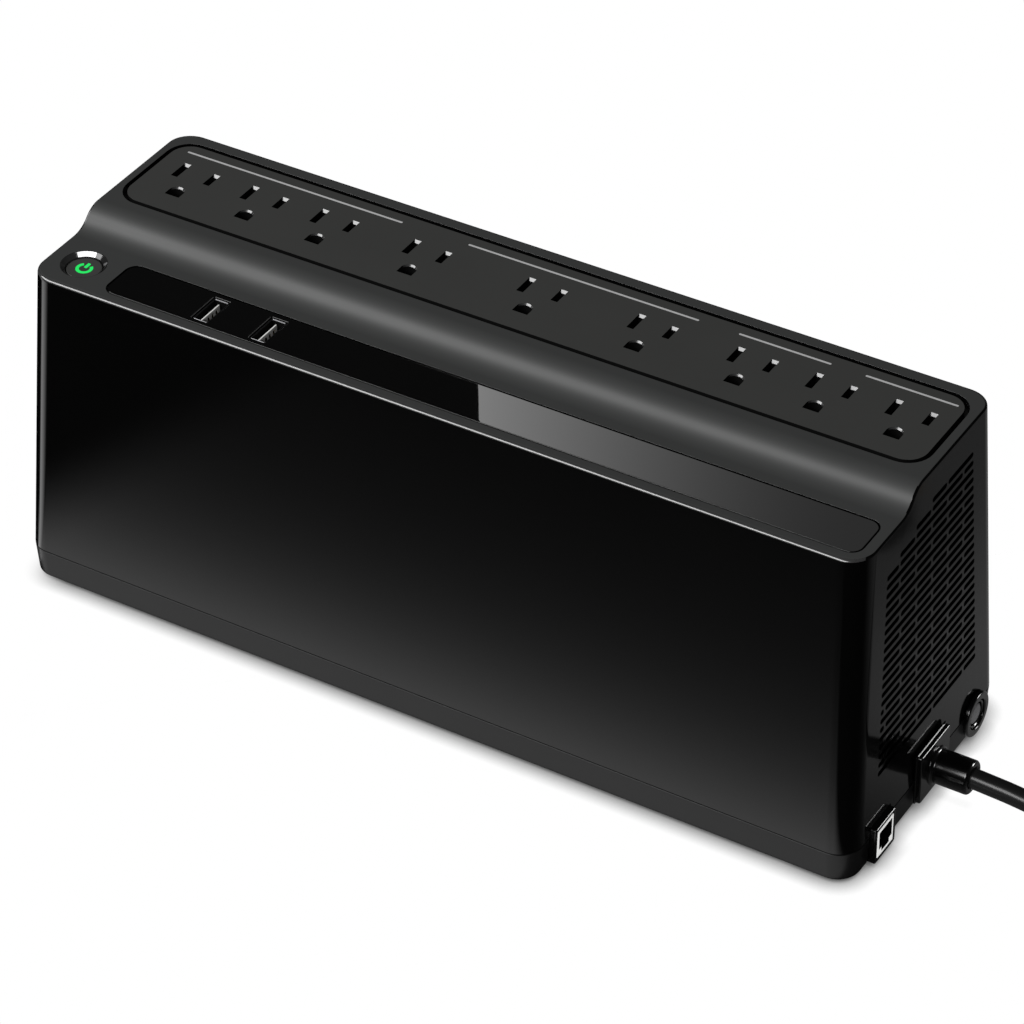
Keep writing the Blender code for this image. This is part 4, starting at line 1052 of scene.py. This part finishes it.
def battery_door():
    """Sliding cover with rounded edges and finger grooves."""
    low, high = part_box("battery_door")
    wide, narrow = high.y, high.y - DOOR_RAIL
    step = high.z - DOOR_STEP
    soft = DOOR_SOFT
    right = [(narrow - soft, low.z), (narrow, low.z + soft), (narrow, step), (wide, step),
             (wide, high.z - soft), (wide - soft, high.z)]
    outline = right + [(-y, z) for y, z in reversed(right)]
    outline = outline[-1:] + outline[:-1]
    door = solid("sliding_door", along_x([(low.x, outline), (high.x, outline)]))
    grips = bmesh.new()
    for i in range(5):
        x = low.x + (4.75 + 3 * i) * MM
        angles = [2 * math.pi * k / 12 for k in range(12)]
        groove = [(x + 0.75 * MM * math.cos(a), low.z + 0.6 * MM * math.sin(a)) for a in angles]
        skin([[(u, y, v) for u, v in groove] for y in (-8 * MM, 8 * MM)], grips)
    combine(door, [mesh_object("grips", grips)])
    return piece(polish(door), "base", "door", nodes=["battery_door"])


# ---------------- right end

def strain_relief():
    """Flange with a thin lip at the wall, a round boot with a ring at its root, and the way for the cord."""
    low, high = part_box("strain_relief")
    lip, face = RELIEF_LIP_X, RELIEF_FACE_X
    shrinks = [(low.x, RELIEF_NECK), (lip, RELIEF_NECK), (lip, 0.2 * MM), (lip + 0.15 * MM, 0),
               (lip + 0.55 * MM, 0), (lip + 0.75 * MM, RELIEF_EDGE)]
    shrinks += [(face - drop, RELIEF_EDGE + inset) for inset, drop in quarter(RELIEF_EDGE, 4)]
    flange = solid("cord_relief", along_x([(x, end_plate(low, high, by, 1.0 * MM, 6)) for x, by in shrinks]))
    profile = [(7.0 * MM, face - 0.6 * MM), (7.0 * MM, face + 0.1 * MM), (6.75 * MM, face + 0.5 * MM),
               (6.4 * MM, face + 0.65 * MM), (6.15 * MM, face + 0.9 * MM), (BOOT_R, face + 1.3 * MM)]
    profile += round_end(BOOT_R, BOOT_END_X, 1.1 * MM, 6)
    snug, wide = CORD_R + 0.35 * MM, CORD_R + 0.9 * MM
    way = [(snug, 0.168), (snug, BOOT_END_X - 0.5 * MM), (wide, BOOT_END_X + 0.1 * MM), (wide, 0.2)]
    axis = (0, CORD_Y, CORD_Z)
    combine(flange, [turned("boot", profile, axis, "X", 64)], "UNION")
    combine(flange, [turned("cord_way", way, axis, "X", 64)])
    return piece(polish(flange), "fitting", nodes=["strain_relief"])


def bezier(start, start_handle, end_handle, end, steps):
    """Points along one cubic curve, the end included and the start left out."""
    points = []
    for i in range(1, steps + 1):
        t = i / steps
        u = 1 - t
        pull = 3 * u * u * t * start_handle + 3 * u * t * t * end_handle
        points.append(u ** 3 * start + pull + t ** 3 * end)
    return points


def cord_path():
    """Straight out of the boot, down to the table, then round towards the back."""
    table = Vector((0, 0, TABLE_Z))
    start = Vector((BOOT_END_X - 8 * MM, CORD_Y, CORD_Z))
    out = Vector((BOOT_END_X + 12 * MM, CORD_Y, CORD_Z - 0.6 * MM))
    down = Vector((0.236, 0.022, CORD_R + 0.5 * MM)) + table
    end = Vector((0.247, 0.100, CORD_R + 6.5 * MM)) + table
    path = [start, Vector((BOOT_END_X + 2 * MM, CORD_Y, CORD_Z - 0.1 * MM)), out]
    path += bezier(out, out + Vector((0.020, 0, -0.0015)), down + Vector((-0.012, -0.018, 0)), down, 24)
    path += bezier(down, down + Vector((0.014, 0.021, 0)), end + Vector((0, -0.035, 0)), end, 24)
    return path


def cord():
    """Round jacket swept along the path."""
    path = cord_path()
    side = Vector((0, 1, 0))
    angles = [2 * math.pi * k / 40 for k in range(40)]
    rings = []
    for i, point in enumerate(path):
        tangent = (path[min(i + 1, len(path) - 1)] - path[max(i - 1, 0)]).normalized()
        side = (side - tangent * side.dot(tangent)).normalized()
        up = tangent.cross(side)
        rings.append([point + CORD_R * (math.cos(a) * side + math.sin(a) * up) for a in angles])
    return piece(polish(solid("mains_cord", rings)), "cord", nodes=["power_cord"])


def plug():
    """Moulded plug on the table, its blades to the back, with grip grooves and ways for blades and cord."""
    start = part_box("plug_body")[0].y
    x, _, z = middle_of("plug_body")
    stations = [(0, 5.0, 5.0), (2, 5.2, 5.2), (4, 6.4, 6.4), (8, 8.8, 8.4), (12, 11.0, 10.2),
                (17, 12.4, 12.0), (22, 12.9, 12.6), (28.6, 13.0, 12.8), (29.4, 12.8, 12.6), (30, 12.2, 12.0)]
    rings = []
    for y, half_x, half_z in stations:
        outline = rounded_rectangle(around(x, half_x * MM), around(z, half_z * MM), 0.62 * half_z * MM, 8)
        rings.append([(u, start + y * MM, v) for u, v in outline])
    body = solid("moulded_plug", rings)
    ways = bmesh.new()
    for side in (-1, 1):
        edge = x + side * 13.0 * MM
        rib_x = sorted((edge - side * 0.9 * MM, edge + side * 2 * MM))
        for at in (14, 17, 20, 23):
            y = start + at * MM
            skin(box_rings(rib_x, (y, y + 1.2 * MM), around(z, 7 * MM)), ways)
    grow = 0.35 * MM
    for node in ("plug_blade_neutral", "plug_blade_live", "plug_ground_pin"):
        low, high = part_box(node)
        skin(box_rings((low.x - grow, high.x + grow), (low.y - 0.5 * MM, high.y + 5 * MM),
                       (low.z - grow, high.z + grow)), ways)
    skin(box_rings(around(x, 4 * MM), (start - 1 * MM, start + 2 * MM), around(z, 4 * MM)), ways)
    combine(body, [mesh_object("plug_ways", ways)])
    return piece(polish(body), "rubber", nodes=["plug_body"])


def breaker():
    """Collar on the end wall, the breaker's threaded neck inside it and its push button."""
    low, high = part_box("breaker_collar")
    axis = (0, *middle_of("breaker_collar")[1:])
    radius = (high.y - low.y) / 2
    profile = [(BREAKER_BORE_R, low.x), (radius, low.x)] + round_end(radius, high.x, 0.6 * MM, 5)
    profile += [(BREAKER_BORE_R + widen, high.x - drop) for widen, drop in reversed(quarter(0.5 * MM, 3))]
    collar = tube("collar", profile, axis, "X", 64)
    piece(polish(collar), "fitting", nodes=["breaker_collar"])
    low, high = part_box("breaker_body")
    neck, bore, edge = 5.2 * MM, 4.3 * MM, 0.25 * MM
    profile = [(neck, low.x), (neck, high.x - edge), (neck - edge, high.x), (bore + edge, high.x),
               (bore, high.x - edge), (bore, low.x + 12 * MM)]
    case = turned("breaker_case", profile, axis, "X", 64)
    piece(polish(case), "fitting", nodes=["breaker_body"])
    low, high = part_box("breaker_button")
    push = (high.z - low.z) / 2
    shoulder = high.x - 1.3 * MM
    profile = [(push, low.x), (push, shoulder)]
    for angle in (0.4, 0.8, 1.2, math.pi / 2):
        profile.append((push - 1.2 * MM * (1 - math.cos(angle)), shoulder + 1.0 * MM * math.sin(angle)))
    profile += [(push * 0.4, high.x - 0.08 * MM), (push * 0.12, high.x)]
    button = turned("reset_button", profile, axis, "X", 64)
    piece(polish(button), "light_grey", "breaker_plunger", nodes=["breaker_button"])
    return [collar, case]


def port_block(jack_low, jack_high):
    """Raised block with rounded edges and the mouth that holds the jack."""
    low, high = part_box("data_port_block")
    shrinks = [(low.x, 0)] + [(high.x - drop, inset) for inset, drop in quarter(0.5 * MM, 4)]
    block = solid("port_block", along_x([(x, end_plate(low, high, by, 0.9 * MM, 5)) for x, by in shrinks]))
    mouth = end_plate(jack_low, jack_high, -PLAY, 0.5 * MM, 4)
    combine(block, [solid("mouth", along_x([(jack_low.x - PLAY, mouth), (0.17, mouth)]))])
    return piece(polish(block), "fitting", nodes=["data_port_block"])


def data_port():
    """The port's block, and the jack's pale face with its keyed opening."""
    low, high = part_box("data_jack_shield")
    block = port_block(low, high)
    face = end_plate(low, high, 0, 0.4 * MM, 4)
    thin = end_plate(low, high, 0.2 * MM, 0.3 * MM, 4)
    jack = solid("jack_face", along_x([(low.x, face), (high.x - 0.2 * MM, face), (high.x, thin)]))
    side, key = 1.1 * MM, 2.6 * MM
    middle = (low.y + high.y) / 2
    step, bottom, top = low.z + 3.0 * MM, low.z + 1.2 * MM, high.z - side
    left, right = low.y + side, high.y - side
    keyed = [(left, step), (middle - key, step), (middle - key, bottom), (middle + key, bottom),
             (middle + key, step), (right, step), (right, top), (left, top)]
    combine(jack, [solid("jack_mouth", along_x([(low.x + 1.2 * MM, keyed), (0.17, keyed)]))])
    # faces inside the jack's opening get painted shade; the face material also carries a painted glow
    paint(jack, ("jack_face_painted_glow", "cavity_painted_shade"), lambda face: int(face.center.x < high.x - 0.3 * MM))
    piece(polish(jack), "jack_face_painted_glow", nodes=["data_jack_shield"])
    return block


# ---------------- stage and camera

def camera():
    data = bpy.data.cameras.new("camera")
    data.lens = CAMERA_LENS
    data.sensor_width = 36.0
    data.clip_start = 0.05
    data.clip_end = 20.0
    made = bpy.data.objects.new("camera", data)
    turn = (Matrix.Rotation(CAMERA_AZIMUTH, 4, "Z") @ Matrix.Rotation(math.pi / 2 - CAMERA_ELEVATION, 4, "X")
            @ Matrix.Rotation(CAMERA_ROLL, 4, "Z"))
    made.matrix_world = Matrix.Translation(CAMERA_PLACE) @ turn
    bpy.context.scene.collection.objects.link(made)
    bpy.context.scene.camera = made


def mirrored_table(graph):
    """Brightness of the table in mirror-like surfaces: it fades away from the casing, as flags make it."""
    maths, ramp, product = graph.maths, graph.ramp, graph.product
    place = graph.place()
    x, y = place["X"], place["Y"]
    # in front and behind: fades with the distance from the casing
    away = maths("MAXIMUM", maths("SUBTRACT", maths("ABSOLUTE", y), HALF_DEPTH), 0.0)
    fall = maths("POWER", maths("DIVIDE", away, GLOW_REACH), GLOW_POWER)
    glow = maths("DIVIDE", 1.0, maths("ADD", fall, 1.0))
    behind = product(maths("GREATER_THAN", y, 0.0), GLOW_LOSS_BEHIND)
    glow = product(glow, maths("SUBTRACT", 1.0, behind))
    beside = product(ramp(x, -0.215, -0.165), ramp(x, 0.160, 0.180, 1.0, 0.0))
    front = product(glow, beside, maths("GREATER_THAN", away, 0.0))
    # to the left: a bright wedge that fans out from the front corner
    run = maths("MAXIMUM", maths("SUBTRACT", -0.160, x), 0.001)
    slant = maths("DIVIDE", maths("SUBTRACT", -0.050, y), run)
    wedge = product(ramp(slant, 0.18, 0.36), ramp(slant, 0.40, 1.40, 1.0, 0.0))
    left = product(wedge, 1.8, maths("LESS_THAN", x, -0.165))
    # to the right: faint, and only beside the rear half and behind it
    level = product(ramp(y, -0.060, 0.080), ramp(y, 0.300, 0.600, 1.0, 0.0))
    right = product(level, ramp(x, 0.175, 0.240, 0.24, 0.10), maths("GREATER_THAN", x, 0.150))
    return maths("MAXIMUM", front, maths("MAXIMUM", left, right))


def seen_table(graph):
    """Brightness of the table itself: white, with a soft shadow where the casing stands."""
    shade = graph.node("ShaderNodeAmbientOcclusion", Distance=CONTACT_SHADOW, samples=12)
    covered = graph.maths("SUBTRACT", 1.0, shade.outputs["AO"])
    shadow = graph.maths("MULTIPLY", covered, graph.ramp(graph.place()["X"], -0.172, -0.145))
    return graph.maths("POWER", graph.maths("SUBTRACT", 1.0, shadow), 1.3)


def table_material():
    material = bpy.data.materials.new("table")
    graph = Graph(material, clear=True)
    mirror = graph.node("ShaderNodeEmission")
    graph.links.new(mirrored_table(graph), mirror.inputs["Strength"])
    pale = graph.node("ShaderNodeEmission", Color=(1.0, 1.0, 1.0, 1.0))
    graph.links.new(seen_table(graph), pale.inputs["Strength"])
    surface = graph.for_rays("Is Glossy Ray", pale.outputs[0], mirror.outputs[0])
    graph.finish("ShaderNodeOutputMaterial", surface)
    material.cycles.emission_sampling = "NONE"
    return material


def table():
    corners = rectangle(around(0, 6.0), around(0, 6.0))
    bm = bmesh.new()
    bm.faces.new([bm.verts.new((x, y, TABLE_Z)) for x, y in corners])
    made = mesh_object("table_top", bm)
    made.data.materials.append(table_material())


def world():
    made = bpy.data.worlds.new("studio")
    bpy.context.scene.world = made
    graph = Graph(made, clear=True)
    fill, mirrored, backdrop = [graph.node("ShaderNodeBackground", Strength=level).outputs[0]
                                for level in (WORLD_FILL, WORLD_MIRRORED, 1.0)]
    lighting = graph.for_rays("Is Glossy Ray", fill, mirrored)
    graph.finish("ShaderNodeOutputWorld", graph.for_rays("Is Camera Ray", lighting, backdrop))


def area_light(name, place, size, radiance):
    """A rectangular softbox of the given radiance, aimed at the part and hidden from the camera."""
    data = bpy.data.lights.new(name, "AREA")
    data.shape = "RECTANGLE"
    data.size, data.size_y = size
    data.energy = radiance * math.pi * size[0] * size[1]
    made = bpy.data.objects.new(name, data)
    made.location = place
    made.rotation_mode = "QUATERNION"
    made.rotation_quaternion = (LIGHT_TARGET - place).to_track_quat("-Z", "Y")
    made.visible_camera = False
    bpy.context.scene.collection.objects.link(made)
    return made


def only_for(light, objects):
    """Light linking: this light reaches only the given objects."""
    group = bpy.data.collections.new(light.name + "_receivers")
    for obj in objects:
        group.objects.link(obj)
    light.light_linking.receiver_collection = group


def gradient_card(strip):
    """Upright card behind the unit, mirrored only by the glossy strip: bright on the left, fading right."""
    left, right = CARD_X
    card = area_light("strip_card", Vector(((left + right) / 2, 0.300, 0.404)), (right - left, 0.36), 1.0)
    card.rotation_mode = "XYZ"
    card.rotation_euler = (math.radians(-90), 0, 0)
    graph = Graph(card.data, clear=True)
    across = graph.ranged(graph.place()["X"], 1.0, 0.0, left, left + CARD_FADE)
    curve = graph.maths("POWER", across, 1.9)
    glow = graph.node("ShaderNodeEmission")
    graph.links.new(graph.maths("MULTIPLY_ADD", curve, 2.6, 0.36), glow.inputs["Strength"])
    graph.finish("ShaderNodeOutputLight", glow.outputs[0])
    only_for(card, [strip])


def lights(strip, dish, fittings):
    area_light("key", *KEY_LIGHT)
    gradient_card(strip)
    only_for(area_light("dish_light", *DISH_LIGHT), [dish])
    only_for(area_light("edge_light", *EDGE_LIGHT), fittings)


def picture_settings():
    view = bpy.context.scene.view_settings
    view.view_transform = "Standard"
    view.look = "None"


def build():
    housing()
    outlet_panel()
    printed_lines()
    strip = glossy_strip()
    for side in ("left", "right"):
        usb_shell(side)
        usb_tongue(side)
    dish = button_dish()
    power_button()
    base_shell()
    feet_and_screws()
    battery_door()
    relief = strain_relief()
    cord()
    plug()
    fittings = breaker() + [data_port(), relief]
    dress_cad_nodes()
    table()
    world()
    lights(strip, dish, fittings)
    camera()
    picture_settings()


build()
